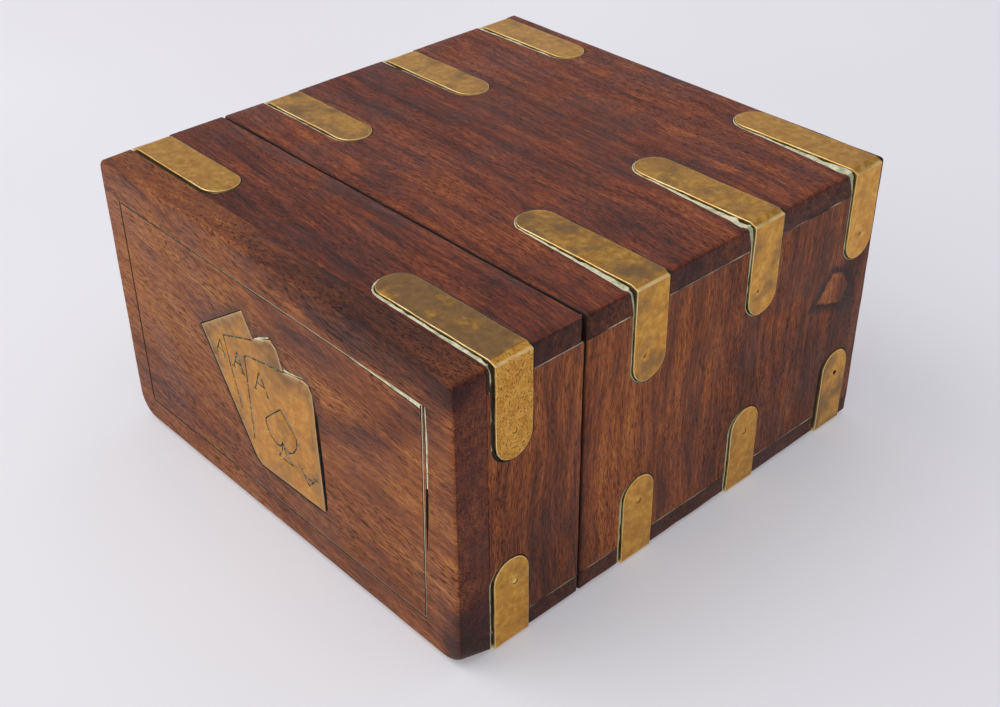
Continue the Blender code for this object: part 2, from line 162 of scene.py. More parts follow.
class Shader:
    """A material with one Principled shader, whose nodes are added by short calls."""

    def __init__(self, name):
        self.material = bpy.data.materials.new(name)
        self.material.use_nodes = True
        self.tree = self.material.node_tree
        self.surface = self.tree.nodes["Principled BSDF"]

    def feed(self, socket, value):
        if isinstance(value, bpy.types.NodeSocket):
            self.tree.links.new(value, socket)
        else:
            socket.default_value = value

    def node(self, kind, inputs=None, **settings):
        made = self.tree.nodes.new("ShaderNode" + kind)
        for key, value in settings.items():
            setattr(made, key, value)
        for key, value in (inputs or {}).items():
            self.feed(made.inputs[key], value)
        return made

    def math(self, operation, *values):
        return self.node("Math", dict(enumerate(values)), operation=operation).outputs[0]

    def add(self, first, second):
        return self.math("ADD", first, second)

    def less(self, first, second):
        return self.math("SUBTRACT", first, second)

    def times(self, first, second):
        return self.math("MULTIPLY", first, second)

    def vector(self, operation, *values):
        return self.node("VectorMath", dict(enumerate(values)), operation=operation).outputs

    def place(self, seed=0.0):
        """A point's place in the row frame at rest, shifted so that each seed has its own pattern."""
        local = self.node("TexCoord").outputs["Object"]
        return self.vector("ADD", local, (seed * 0.37, seed * 0.53, seed * 0.71))[0]

    def noise(self, place, size, detail, roughness, output="Fac"):
        """Noise whose features have the given size in millimetres, or one for each of X, Y and Z."""
        sizes = size if isinstance(size, tuple) else (size,) * 3
        scaled = self.vector("MULTIPLY", place, [1.0 / (length * MM) for length in sizes])[0]
        inputs = {"Vector": scaled, "Scale": 1.0, "Detail": detail, "Roughness": roughness}
        return self.node("TexNoise", inputs).outputs[output]

    def attribute(self, name):
        return self.node("Attribute", attribute_name=name).outputs["Fac"]

    def swing(self, value, weight):
        """A value about 0.5 as one about zero, times the weight."""
        return self.times(self.less(value, 0.5), weight)

    def remap(self, value, low, high, to_low=0.0, to_high=1.0):
        inputs = dict(enumerate((value, low, high, to_low, to_high)))
        return self.node("MapRange", inputs, interpolation_type="SMOOTHSTEP").outputs[0]

    def ramp(self, factor, stops):
        made = self.node("ValToRGB", {"Fac": factor})
        set_ramp(made, stops)
        return made.outputs["Color"]

    def mix(self, factor, first, second, blend="MIX"):
        inputs = {0: factor, 6: self.colour(first), 7: self.colour(second)}
        return self.node("Mix", inputs, data_type="RGBA", blend_type=blend).outputs[2]

    @staticmethod
    def colour(value):
        return value if isinstance(value, bpy.types.NodeSocket) else (*value, 1.0)

    def bump(self, height, distance, strength):
        made = self.node("Bump", {"Height": height, "Distance": distance, "Strength": strength})
        self.feed(self.surface.inputs["Normal"], made.outputs["Normal"])

    def finish(self, colour, roughness, metallic=0.0):
        self.feed(self.surface.inputs["Base Color"], colour)
        self.feed(self.surface.inputs["Roughness"], roughness)
        self.feed(self.surface.inputs["Metallic"], metallic)
        return self.material


def by_axis(axis, along, across):
    return tuple(along if k == axis else across for k in range(3))


# ---- wood ----
END_TINT = (0.54, 0.53, 0.50)


def wood(name, grain, tones, seed, placed=(), contrast=1.0, pores=(2.4, 0.26, 0.55), end=END_TINT,
         slant=("Z_AXIS", 0.0)):
    """Long-grained wood, dark to light by its tones, which are (place on the ramp, colour).

    Pores are (length, width, darkness), the sizes in millimetres. Each placed rule adds to the tone.
    Slant turns the grain off its axis, by degrees. End tints the end grain.
    """
    sh = Shader(name)
    local = sh.place()
    place = sh.place(seed)
    turn = {"Vector": place, "Angle": math.radians(slant[1])}
    place = sh.node("VectorRotate", turn, rotation_type=slant[0]).outputs[0]
    wander = sh.noise(place, by_axis(grain, 90, 40), 2.0, 0.5, "Color")
    wander = sh.vector("SUBTRACT", wander, (0.5, 0.5, 0.5))[0]
    wander = sh.vector("MULTIPLY", wander, by_axis(grain, 0.0, 15 * MM))[0]
    bent = sh.vector("ADD", place, wander)[0]

    broad = sh.noise(bent, by_axis(grain, 150, 12), 3.0, 0.55)
    streak = sh.noise(bent, by_axis(grain, 34, 2.6), 3.0, 0.62)
    fine = sh.noise(bent, by_axis(grain, 12, 0.70), 3.0, 0.6)
    fibre = sh.noise(bent, by_axis(grain, 2.6, 0.26), 2.0, 0.5)
    blotch = sh.noise(place, 21, 3.0, 0.6)
    tone = 0.5
    layers = ((broad, 0.66), (streak, 0.80), (fine, 0.64), (fibre, 0.66), (blotch, 0.30))
    for layer, weight in layers:
        tone = sh.add(sh.swing(layer, weight * contrast), tone)
    moved = sh.vector("ADD", local, wander)[0]
    for rule in placed:
        tone = sh.add(tone, rule(sh, local, moved, blotch))
    colour = sh.ramp(tone, tones)

    length, width, darkness = pores
    pore = sh.noise(bent, by_axis(grain, length, width), 1.0, 0.5)
    pore = sh.times(sh.remap(pore, 0.55, 0.61), sh.remap(broad, 0.38, 0.60, 0.5, 1.0))
    left = 1.0 - darkness
    colour = sh.mix(pore, colour, (left, left * 0.92, left * 0.9), "MULTIPLY")

    fleck = sh.noise(place, by_axis(grain, 1.8, 0.5), 2.0, 0.7)
    fleck = sh.remap(fleck, 0.72, 0.80, 0.0, 0.5)
    colour = sh.mix(fleck, colour, (0.45, 0.26, 0.14))

    normal = sh.node("TexCoord").outputs["Normal"]
    facing = sh.vector("DOT_PRODUCT", normal, by_axis(grain, 1.0, 0.0))["Value"]
    on_end = sh.remap(sh.math("ABSOLUTE", facing), 0.66, 0.80)
    speckle = sh.noise(place, (0.45, 0.45, 1.9), 2.0, 0.7)
    dark, light = ([part * share for part in end] for share in (0.62, 1.22))
    colour = sh.mix(on_end, colour, sh.ramp(speckle, ((0.36, dark), (0.60, light))), "MULTIPLY")

    # Near black where the mesh asks: painted shade along the boards' seam, and a real stain round the
    # plate on the panel.
    grime_and_shade = sh.times(sh.attribute("grime_and_shade"), sh.remap(blotch, 0.35, 0.6, 0.6, 1.0))
    colour = sh.mix(grime_and_shade, colour, (0.022, 0.015, 0.012))

    height = sh.less(sh.times(fibre, 0.6), sh.times(pore, 0.6))
    height = sh.add(height, sh.times(fine, 0.5))
    sh.bump(height, 0.16 * MM, 0.8)
    gloss = sh.remap(blotch, 0.35, 0.65, 0.38, 0.52)
    gloss = sh.add(gloss, sh.times(pore, 0.2))
    sh.surface.inputs["Specular IOR Level"].default_value = 0.2
    return sh.finish(colour, gloss)


def streaks(axis, table, evenness):
    """Lighter and darker streaks, set by their place in millimetres along an axis."""
    low, high = table[0][0], table[-1][0]
    stops = [((mm - low) / (high - low), (tone,) * 3) for mm, tone in table]

    def rule(sh, local, moved, blotch):
        spot = sh.node("SeparateXYZ", {0: moved}).outputs[axis]
        inputs = dict(enumerate((spot, low * MM, high * MM, 0.0, 1.0)))
        tone = sh.ramp(sh.node("MapRange", inputs).outputs[0], stops)
        tone = sh.less(tone, 0.5)
        return sh.times(tone, sh.remap(blotch, 0.3, 0.7, evenness, 1.0))

    return rule


def flame(points, reach, shift):
    """A soft streak along a run of points in the row frame, in millimetres."""

    def rule(sh, local, moved, blotch):
        nearest = 1.0
        for start, end in zip(points, points[1:]):
            start, end = Vector(start) * MM, Vector(end) * MM
            along = end - start
            offset = sh.vector("SUBTRACT", moved, start)[0]
            share = sh.vector("DOT_PRODUCT", offset, along / along.length_squared)["Value"]
            share = sh.node("Clamp", {0: share}).outputs[0]
            closest = sh.node("VectorMath", {0: along, 3: share}, operation="SCALE").outputs[0]
            distance = sh.vector("DISTANCE", offset, closest)["Value"]
            nearest = sh.math("MINIMUM", nearest, distance)
        return sh.remap(nearest, 0.15 * reach * MM, reach * MM, shift, 0.0)

    return rule


def zone(centre, reach, shift):
    """A soft lighter or darker region: its centre and its reach along each axis, in millimetres."""

    def rule(sh, local, moved, blotch):
        offset = sh.vector("SUBTRACT", moved, Vector(centre) * MM)[0]
        scaled = sh.vector("DIVIDE", offset, Vector(reach) * MM)[0]
        distance = sh.vector("LENGTH", scaled)["Value"]
        distance = sh.add(distance, sh.swing(blotch, 0.9))
        return sh.remap(distance, 0.55, 1.15, shift, 0.0)

    return rule


def patch(corners, shift, edge_shift):
    """A pale patch of swirled grain on the right board: its corners (y, z) anticlockwise, in mm."""

    def rule(sh, local, moved, blotch):
        ragged = sh.noise(local, 3.5, 3.0, 0.6, "Color")
        ragged = sh.vector("SUBTRACT", ragged, (0.5, 0.5, 0.5))[0]
        ragged = sh.node("VectorMath", {0: ragged, 3: 1.3 * MM}, operation="SCALE").outputs[0]
        torn = sh.vector("ADD", local, ragged)[0]
        outside = sh.vector("DOT_PRODUCT", torn, (-1, 0, 0))["Value"]
        for i, corner in enumerate(corners):
            start, end = Vector((0, *corners[i - 1])) * MM, Vector((0, *corner)) * MM
            along = (end - start).normalized()
            outward = Vector((0, along.z, -along.y))
            offset = sh.vector("SUBTRACT", torn, start)[0]
            past = sh.vector("DOT_PRODUCT", offset, outward)["Value"]
            outside = sh.math("MAXIMUM", outside, past)
        inside = sh.remap(outside, -0.5 * MM, 0.0, shift, 0.0)
        rim = sh.remap(outside, -0.2 * MM, 0.3 * MM, 0.0, edge_shift)
        fade = sh.remap(outside, 0.5 * MM, 3.5 * MM, 1.0, 0.0)
        return sh.add(inside, sh.times(rim, fade))

    return rule


TOP_STREAKS = (
    (-82, 0.46), (-76, 0.52), (-70, 0.42), (-60, 0.42), (-53, 0.52),
    (-44, 0.56), (-36, 0.60), (-26, 0.64), (-14, 0.56), (-8, 0.66),
    (-3, 0.50), (3, 0.58), (8, 0.50), (14, 0.66), (22, 0.56),
    (34, 0.56), (46, 0.64), (58, 0.56), (70, 0.54), (82, 0.54),
)
SIDE_STREAKS = (
    (-82, 0.46), (-68, 0.42), (-60, 0.49), (-50, 0.47), (-42, 0.52),
    (-30, 0.58), (-20, 0.52), (-8, 0.54), (6, 0.54), (18, 0.50),
    (24, 0.44), (38, 0.46), (50, 0.48), (60, 0.44), (82, 0.42),
)
SIDE_ZONES = (
    ((77, -58, 74), (40, 24, 26), 0.06),
    ((77, -60, 14), (40, 26, 30), -0.10),
    ((77, -20, 62), (40, 26, 40), 0.08),
    ((77, 52, 22), (40, 44, 30), -0.09),
    ((77, 74, 56), (40, 7, 16), -0.16),
)
SIDE_PATCH = ((57.0, 51.0), (70.0, 46.6), (72.5, 52.0), (68.5, 57.5), (63.5, 59.0))
PANEL_STREAKS = (
    (0, 0.50), (8, 0.44), (14, 0.50), (20, 0.46), (26, 0.54),
    (30, 0.46), (34, 0.56), (44, 0.60), (54, 0.54), (62, 0.58),
    (74, 0.60), (82, 0.54), (90, 0.48),
)
PANEL_FLAME = ((76, -81, 86), (60, -81, 74), (55, -81, 65), (46, -81, 59), (22, -81, 54))
PANEL_ZONES = (
    ((52, -76, 93), (62, 30, 12), -0.26),
    ((-52, -81, 16), (32, 30, 6), -0.12),
    ((-62, -81, 60), (22, 30, 22), 0.06),
    ((14, -81, 73), (18, 30, 4), -0.10),
    ((64, -81, 40), (16, 30, 26), 0.06),
    ((79, -76, 6), (9, 14, 18), -0.30),
)
PLANK_TONES = (
    (0.14, (0.0227, 0.0058, 0.0036)),
    (0.36, (0.0639, 0.0126, 0.0065)),
    (0.52, (0.1257, 0.0243, 0.0097)),
    (0.70, (0.2318, 0.0524, 0.0151)),
    (0.88, (0.3811, 0.1115, 0.0302)),
)
SIDE_TONES = (
    (0.14, (0.0408, 0.0090, 0.0036)),
    (0.38, (0.1122, 0.0240, 0.0065)),
    (0.54, (0.2091, 0.0490, 0.0104)),
    (0.72, (0.3417, 0.0920, 0.0173)),
    (0.90, (0.4794, 0.1600, 0.0346)),
)
PANEL_TONES = (
    (0.14, (0.0510, 0.0122, 0.0059)),
    (0.36, (0.1377, 0.0347, 0.0107)),
    (0.52, (0.2397, 0.0673, 0.0178)),
    (0.70, (0.3672, 0.1244, 0.0296)),
    (0.88, (0.5100, 0.2142, 0.0592)),
)
LINER_TONES = (
    (0.14, (0.1500, 0.0640, 0.0260)),
    (0.38, (0.2400, 0.1060, 0.0460)),
    (0.54, (0.3100, 0.1430, 0.0650)),
    (0.72, (0.3800, 0.1870, 0.0900)),
    (0.90, (0.4600, 0.2460, 0.1310)),
)
PLANK_WOOD = wood(
    "plank_wood", 0, PLANK_TONES, 1.0, [streaks(1, TOP_STREAKS, 0.5)], contrast=0.95,
    slant=("Z_AXIS", 4.0),
)
SIDE_WOOD = wood(
    "side_wood",
    2,
    SIDE_TONES,
    2.0,
    [streaks(1, SIDE_STREAKS, 0.5), patch(SIDE_PATCH, 0.20, -0.34)]
    + [zone(*entry) for entry in SIDE_ZONES],
    contrast=0.95,
)
PANEL_WOOD = wood(
    "panel_wood",
    0,
    PANEL_TONES,
    3.0,
    [streaks(2, PANEL_STREAKS, 0.5), flame(PANEL_FLAME, 7.0, -0.15)]
    + [zone(*entry) for entry in PANEL_ZONES],
    contrast=0.8,
    pores=(3.2, 0.30, 0.66),
    end=(0.56, 0.43, 0.62),
    slant=("Y_AXIS", -8.0),
)
BACK_WOOD = wood("back_wood", 0, PLANK_TONES, 4.0)
LINER_WOOD = wood("liner_wood", 1, LINER_TONES, 5.0, contrast=0.7, pores=(2.4, 0.26, 0.3))


def speckled(name, seed, size, roughness, stops):
    """A dull material with small speckles of the given size in millimetres."""
    sh = Shader(name)
    return sh.finish(sh.ramp(sh.noise(sh.place(seed), size, 2.0, roughness), stops), 0.8)


# Painted shade: the walls and beds of the mortises, grooves and pin holes are coloured near black, as
# the shade down in them.
GAP_SHADE_STOPS = ((0.3, (0.010, 0.006, 0.005)), (0.7, (0.045, 0.024, 0.016)))
GAP_SHADE = speckled("gap_shade", 6.0, 1.5, 0.6, GAP_SHADE_STOPS)
# Dried green polish in the plate's scribed marks, with pale crumbs.
POLISH_STOPS = (
    (0.38, (0.012, 0.014, 0.008)),
    (0.54, (0.050, 0.060, 0.026)),
    (0.62, (0.220, 0.240, 0.150)),
    (0.70, (0.480, 0.470, 0.340)),
)
GREEN_POLISH = speckled("green_polish", 11.0, 0.9, 0.7, POLISH_STOPS)


def line_brass():
    """The border line: dull brass under dried polish, with a highlight painted where the mesh gives
    rim.
    """
    sh = Shader("line_brass")
    crumb = sh.noise(sh.place(12.0), 1.3, 3.0, 0.7)
    colour = sh.ramp(crumb, (
        (0.36, (0.018, 0.018, 0.010)),
        (0.50, (0.075, 0.070, 0.038)),
        (0.62, (0.200, 0.180, 0.100)),
        (0.74, (0.420, 0.360, 0.210)),
    ))
    colour = sh.mix(sh.attribute("rim"), colour, (0.72, 0.62, 0.40))
    return sh.finish(colour, 0.5, 0.2)


LINE_BRASS = line_brass()


# ---- brass and filler ----
def brass(name, seed, size=1.0, tint=(1.0, 1.0, 1.0)):
    """Aged brass. The mesh gives tarnish, pits and rim, where a highlight is painted. 1 is full, and
    more tarnish hides all gold.
    """
    sh = Shader(name)
    place = sh.place(seed)
    tarnish, pits, rim = (sh.attribute(key) for key in ("tarnish", "pits", "rim"))
    cloud = sh.noise(place, 9 * size, 4.0, 0.6)
    mottle = sh.noise(place, 2.3, 3.0, 0.65)
    brushed = sh.noise(place, (6, 0.5, 6), 2.0, 0.6)

    gold = sh.ramp(mottle, (
        (0.30, (0.50, 0.226, 0.033)),
        (0.50, (0.64, 0.318, 0.053)),
        (0.70, (0.77, 0.440, 0.096)),
    ))
    warm = sh.remap(sh.noise(place, 5, 3.0, 0.6), 0.54, 0.66)
    gold = sh.mix(sh.times(warm, 0.55), gold, (0.56, 0.22, 0.030))
    dull = sh.mix(mottle, (0.21, 0.106, 0.040), (0.41, 0.236, 0.086))
    patchy = sh.add(sh.times(tarnish, 2.4), 0.5)
    spread = sh.add(tarnish, sh.swing(cloud, patchy))
    spread = sh.remap(spread, 0.30, 0.80)
    colour = sh.mix(spread, gold, dull)

    spot = sh.noise(place, (0.48, 0.48, 0.60), 2.0, 0.6)
    level = sh.less(spot, sh.times(sh.less(1.02, pits), 0.17))
    hole = sh.times(sh.remap(level, 0.55, 0.61), sh.remap(mottle, 0.36, 0.50, 0.6, 1.0))
    colour = sh.mix(sh.times(hole, 0.75), colour, (0.150, 0.060, 0.016))
    # Painted highlight: pale gold on the rims and creases, patchy by the cloud.
    painted_highlight = sh.times(rim, sh.remap(cloud, 0.40, 0.62, 0.40, 1.0))
    colour = sh.mix(painted_highlight, colour, (0.95, 0.73, 0.34))

    colour = sh.mix(1.0, colour, tint, "MULTIPLY")
    height = sh.less(sh.times(mottle, 0.6), hole)
    height = sh.add(height, sh.times(brushed, 0.25))
    sh.bump(height, 0.10 * MM, 0.6)
    rough = sh.add(sh.remap(mottle, 0.35, 0.65, 0.30, 0.42), sh.times(spread, 0.12))
    return sh.finish(colour, rough, 1.0)


STRAP_BRASS = brass("strap_brass", 7.0)
PLATE_BRASS = brass("plate_brass", 8.0, 1.6, (0.98, 0.91, 0.95))


def filler_paste():
    """Old pale filler. The mesh gives how near black it is, as painted shade down in the open joints
    and as a darker joint where glue is gone, and how far the brass has greened it, from 0 to 1.
    """
    sh = Shader("filler_paste")
    place = sh.place(9.0)
    cloud = sh.noise(place, 3.0, 3.0, 0.6)
    crumb = sh.noise(place, 0.7, 2.0, 0.7)
    colour = sh.ramp(cloud, (
        (0.32, (0.30, 0.34, 0.20)),
        (0.42, (0.56, 0.54, 0.34)),
        (0.54, (0.78, 0.72, 0.50)),
        (0.70, (0.88, 0.82, 0.61)),
    ))
    darkening = sh.remap(crumb, 0.58, 0.72, 0.0, 0.8)
    colour = sh.mix(darkening, colour, (0.13, 0.10, 0.07))
    colour = sh.mix(sh.attribute("green"), colour, (0.20, 0.26, 0.10))
    # Near black where the mesh asks: painted shade in the open joints, and a darker joint where glue is
    # gone.
    colour = sh.mix(sh.attribute("grime_and_shade"), colour, (0.020, 0.014, 0.009))
    sh.bump(crumb, 0.15 * MM, 0.8)
    return sh.finish(colour, 0.75)


FILLER = filler_paste()


def cloth_floor():
    sh = Shader("pale_cloth")
    place = sh.place(10.0)
    cloud = sh.noise(place, 350, 2.0, 0.5)
    weave = sh.noise(place, 0.6, 2.0, 0.6)
    colour = sh.ramp(cloud, ((0.35, (0.57, 0.555, 0.58)), (0.65, (0.60, 0.595, 0.62))))
    sh.bump(weave, 0.05 * MM, 0.3)
    sh.surface.inputs["Emission Color"].default_value = (1.0, 0.98, 1.0, 1.0)
    sh.surface.inputs["Emission Strength"].default_value = FLOOR_GLOW
    sh.surface.inputs["Specular IOR Level"].default_value = 0.1
    return sh.finish(colour, 0.9)


# ---- mesh helpers ----
def face_out(bm):
    bmesh.ops.recalc_face_normals(bm, faces=bm.faces)
    if bm.calc_volume(signed=True) < 0:
        bmesh.ops.reverse_faces(bm, faces=bm.faces)


def linked(name, bm, skins):
    """An object in the scene from a bmesh, which is freed."""
    mesh = bpy.data.meshes.new(name)
    bm.to_mesh(mesh)
    bm.free()
    for skin in skins:
        mesh.materials.append(skin)
    made = bpy.data.objects.new(name, mesh)
    bpy.context.scene.collection.objects.link(made)
    return made


def new_object(name, bm, skins, sharp=35.0):
    """An object from a closed bmesh, its faces pointing out, shaded smooth between sharp edges."""
    face_out(bm)
    made = linked(name, bm, skins)
    shade(made, sharp)
    return made


def shade(obj, sharp=35.0):
    obj.data.shade_smooth()
    obj.data.set_sharp_from_angle(angle=math.radians(sharp))


def settle(obj):
    """Applies the object's modifiers to its mesh."""
    bpy.context.view_layer.update()
    graph = bpy.context.evaluated_depsgraph_get()
    mesh = bpy.data.meshes.new_from_object(obj.evaluated_get(graph))
    obj.modifiers.clear()
    old, obj.data = obj.data, mesh
    bpy.data.meshes.remove(old)


def subtract(obj, tools, skin, crossing=False):
    """Cuts closed bmeshes out of the object. The cut faces take the skin."""
    if not tools:
        return
    joined = bmesh.new()
    for tool in tools:
        face_out(tool)
        part = bpy.data.meshes.new("tool")
        tool.to_mesh(part)
        tool.free()
        joined.from_mesh(part)
        bpy.data.meshes.remove(part)
    cutter = linked("cutter", joined, [skin])
    step = obj.modifiers.new("cut", "BOOLEAN")
    step.operation = "DIFFERENCE"
    step.object = cutter
    step.material_mode = "TRANSFER"
    step.use_self = crossing
    settle(obj)
    mesh = cutter.data
    bpy.data.objects.remove(cutter)
    bpy.data.meshes.remove(mesh)


def adopt(obj, node):
    """The piece rides on its CAD node's body and stands for that node, which is hidden."""
    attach(obj, BODY_OF[node])
    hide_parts(node)
    return obj


def set_attribute(obj, name, rule):
    """A number at each vertex, from its place."""
    layer = obj.data.attributes.get(name) or obj.data.attributes.new(name, "FLOAT", "POINT")
    for vert, entry in zip(obj.data.vertices, layer.data):
        entry.value = rule(vert.co)


def ripple(place, size, seed):
    """Smooth noise from about -1 to 1 whose features have the given size in millimetres."""
    return noise.noise(Vector(place) / (size * MM) + Vector((seed, seed * 1.7, seed * 2.3)))


def swell(place, size, seed):
    """Like ripple, from about 0 to 1."""
    return 0.5 + 0.5 * ripple(place, size, seed)


def bridge(bm, rings):
    """Joins rings of the same count with quads."""
    count = len(rings[0])
    for near, far in zip(rings, rings[1:]):
        for i in range(count):
            j = (i + 1) % count
            bm.faces.new((near[i], near[j], far[j], far[i]))


def tube(rings, layers=(), close=lambda bm, ring: bm.faces.new(ring)):
    """A closed bmesh through rings of (place, then a value for each of the vertex layers)."""
    bm = bmesh.new()
    for name in layers:
        bm.verts.layers.float.new(name)
    keys = bm.verts.layers.float.values()
    loops = []
    for ring in rings:
        loop = []
        for place, *values in ring:
            vert = bm.verts.new(place)
            for key, value in zip(keys, values):
                vert[key] = value
            loop.append(vert)
        loops.append(loop)
    bridge(bm, loops)
    close(bm, loops[0])
    close(bm, loops[-1])
    return bm


# ---- worn boards ----
def on_side(edge, box, axis, way):
    value = box[way > 0][axis]
    return all(abs(vert.co[axis] - value) < 1e-6 for vert in edge.verts)


def rounded_box(box, rounds):
    """A box whose edges are eased. A round is (radius, sides an edge lies on, sides it is not on)."""
    low, high = box
    bm = bmesh.new()
    bmesh.ops.create_cube(bm, size=1.0)
    for vert in bm.verts:
        vert.co = [low[k] + (vert.co[k] + 0.5) * (high[k] - low[k]) for k in range(3)]
    for radius, on, off in rounds:
        picked = [
            edge
            for edge in bm.edges
            if all(on_side(edge, box, *side) for side in on)
            and not any(on_side(edge, box, *side) for side in off)
        ]
        bmesh.ops.bevel(
            bm, geom=picked, offset=radius, segments=EDGE_SEGMENTS, profile=0.5, affect="EDGES"
        )
    return bm


def add_grid(bm, box, thin_axis, step):
    """Cuts the mesh by planes across its two long axes."""
    low, high = box
    for axis in range(3):
        if axis == thin_axis:
            continue
        count = max(2, round((high[axis] - low[axis]) / step))
        direction = Vector(1.0 if k == axis else 0.0 for k in range(3))
        for i in range(1, count):
            spot = direction * (low[axis] + (high[axis] - low[axis]) * i / count)
            bmesh.ops.bisect_plane(
                bm,
                geom=bm.verts[:] + bm.edges[:] + bm.faces[:],
                plane_co=spot,
                plane_no=direction,
            )


def wear(bm, box, waviness, nibble):
    """Makes flat faces slightly wavy and rubs the eased edges down unevenly, inside the box."""
    low, high = box
    middle = (low + high) / 2
    for vert in bm.verts:
        place = vert.co.copy()
        flats = sum(
            min(abs(place[k] - low[k]), abs(place[k] - high[k])) < 1e-6 for k in range(3)
        )
        dip = Vector(ripple(place, 17, 3.1 * k) for k in range(3)) * waviness
        if flats == 0:
            rub = max(0.0, ripple(place, 11, 8.0) + 0.25)
            dip += (middle - place).normalized() * nibble * rub
        vert.co = [clamp(place[k] + dip[k], low[k], high[k]) for k in range(3)]


def worn_board(node, thin_axis, rounds, skin, tools=(), bores=(), mouth=None):
    """One board. Its mouth is the y of the end that meets the seam, where the board is painted dark
    with shade.
    """
    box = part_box(node)
    bm = rounded_box(box, rounds)
    add_grid(bm, box, thin_axis, GRID_STEP)
    wear(bm, box, WAVINESS, NIBBLE)
    made = new_object("worn_" + node, bm, [skin])
    # The mortises' and pin bores' cut walls take the painted shade.
    subtract(made, list(tools), GAP_SHADE)
    subtract(made, list(bores), GAP_SHADE)
    shade(made)
    if mouth is not None:
        set_attribute(made, "grime_and_shade", lambda p: max(0.0, 1 - abs(p.y - mouth) / SEAM_SHADE))
    return adopt(made, node)


# ---- straps: their unrolled space ----
class Strap:
    """A strap unrolled flat: s runs from the top or bottom leg's tip, over the bend, down the side."""

    def __init__(self, node):
        low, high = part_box(node)
        self.node = node
        self.tail = node.split("_strap_")[1]
        self.pin = node.replace("_strap_", "_pin_")
        self.group = BODY_OF[node]
        self.z_name, self.x_name = self.tail.split("_")[:2]
        self.z_way = 1 if self.z_name == "top" else -1
        self.x_way = 1 if self.x_name == "right" else -1
        self.corner = (high.x if self.x_way > 0 else low.x, high.z if self.z_way > 0 else low.z)
        self.y = (low.y + high.y) / 2
        self.half_width = (high.y - low.y) / 2
        self.flat_run = high.x - low.x - STRAP_BEND
        self.side_run = high.z - low.z - STRAP_BEND
        self.bend_length = STRAP_BEND * math.pi / 2
        self.length = self.flat_run + self.bend_length + self.side_run
        self.seed = self.y * 90 + self.x_way * 1.3 + self.z_way * 2.9
        self.stations = self.spread_stations()

    def spread_stations(self):
        """Places along the strap between its round ends, close together at the bend."""
        bend_end = self.flat_run + self.bend_length
        runs = (
            (self.half_width, self.flat_run, STRAP_STATION),
            (self.flat_run, bend_end, self.bend_length / BEND_STEPS),
            (bend_end, self.length - self.half_width, STRAP_STATION),
        )
        spots = []
        for start, end, step in runs:
            count = max(1, round((end - start) / step))
            spots += [start + (end - start) * i / count for i in range(count)]
        return spots + [self.length - self.half_width]

    def turned(self, s):
        """The angle that the bend has turned through at s."""
        return clamp((s - self.flat_run) / STRAP_BEND, high=math.pi / 2)

    def fold(self, s, y, inward):
        """The place in the row frame of a point on the unrolled strap, inward of its outer face."""
        angle = self.turned(s)
        radius = STRAP_BEND - inward
        before = min(s - self.flat_run, 0.0)
        after = max(s - self.flat_run - self.bend_length, 0.0)
        x_out = before - STRAP_BEND + radius * math.sin(angle)
        z_out = -STRAP_BEND + radius * math.cos(angle) - after
        return Vector((
            self.corner[0] + self.x_way * x_out,
            self.y + y,
            self.corner[1] + self.z_way * z_out,
        ))

    def crease(self, s, y, inward):
        """Like fold, with the bend hammered to one sloping facet that meets the side in a crease."""
        angle = self.turned(s)
        place = self.fold(s, y, inward)
        turn = math.pi / 2 * CREASE_STEP / BEND_STEPS
        slope = 1 - 1 / math.tan(turn)
        facet = math.cos(angle) + math.sin(angle) * slope
        grow = STRAP_BEND / max(facet, math.sin(angle)) - STRAP_BEND
        grow *= 1 - min(inward / STRAP_THICK, 1.0)
        place.x += self.x_way * grow * math.sin(angle)
        place.z += self.z_way * grow * math.cos(angle)
        return place

    def proud(self, s):
        """How far the strap stands out of the wood at s. The box rests on the underside's legs."""
        if self.z_way < 0 and s < self.flat_run:
            return FOOT
        return STRAP_PROUD

    def outline(self, inset):
        """Unrolled outline moved inwards: the front side, the side tip, the back side, the flat tip."""
        radius = self.half_width - inset
        near, far = self.half_width, self.length - self.half_width
        turns = [math.pi * (i + 1) / (ARC_STEPS + 1) for i in range(ARC_STEPS)]
        front = [(s, -radius) for s in self.stations]
        tip = [(far + radius * math.sin(a), -radius * math.cos(a)) for a in turns]
        back = [(s, radius) for s in reversed(self.stations)]
        tail = [(near - radius * math.sin(a), radius * math.cos(a)) for a in turns]
        return front + tip + back + tail

    def loft(self, levels, warp, bend, layers=(), values=lambda s, inset, inward: ()):
        """A closed bmesh through outlines at levels (inset, inward), with values for its layers."""
        rings = [
            [(bend(*warp(s, y, inward)), *values(s, inset, inward)) for s, y in self.outline(inset)]
            for inset, inward in levels
        ]
        return tube(rings, layers, self.close)

    def close(self, bm, ring):
        """Fills a ring across the strap's width, station by station, and each round end."""
        count = len(self.stations)
        back = count + ARC_STEPS
        for i in range(count - 1):
            j = back + count - 1 - i
            bm.faces.new((ring[i], ring[i + 1], ring[j - 1], ring[j]))
        bm.faces.new(ring[count - 1 : back + 1])
        bm.faces.new([*ring[back + count - 1 :], ring[0]])


STRAPS = [Strap(node) for node in sorted(frame["nodes"]) if "_strap_" in node]

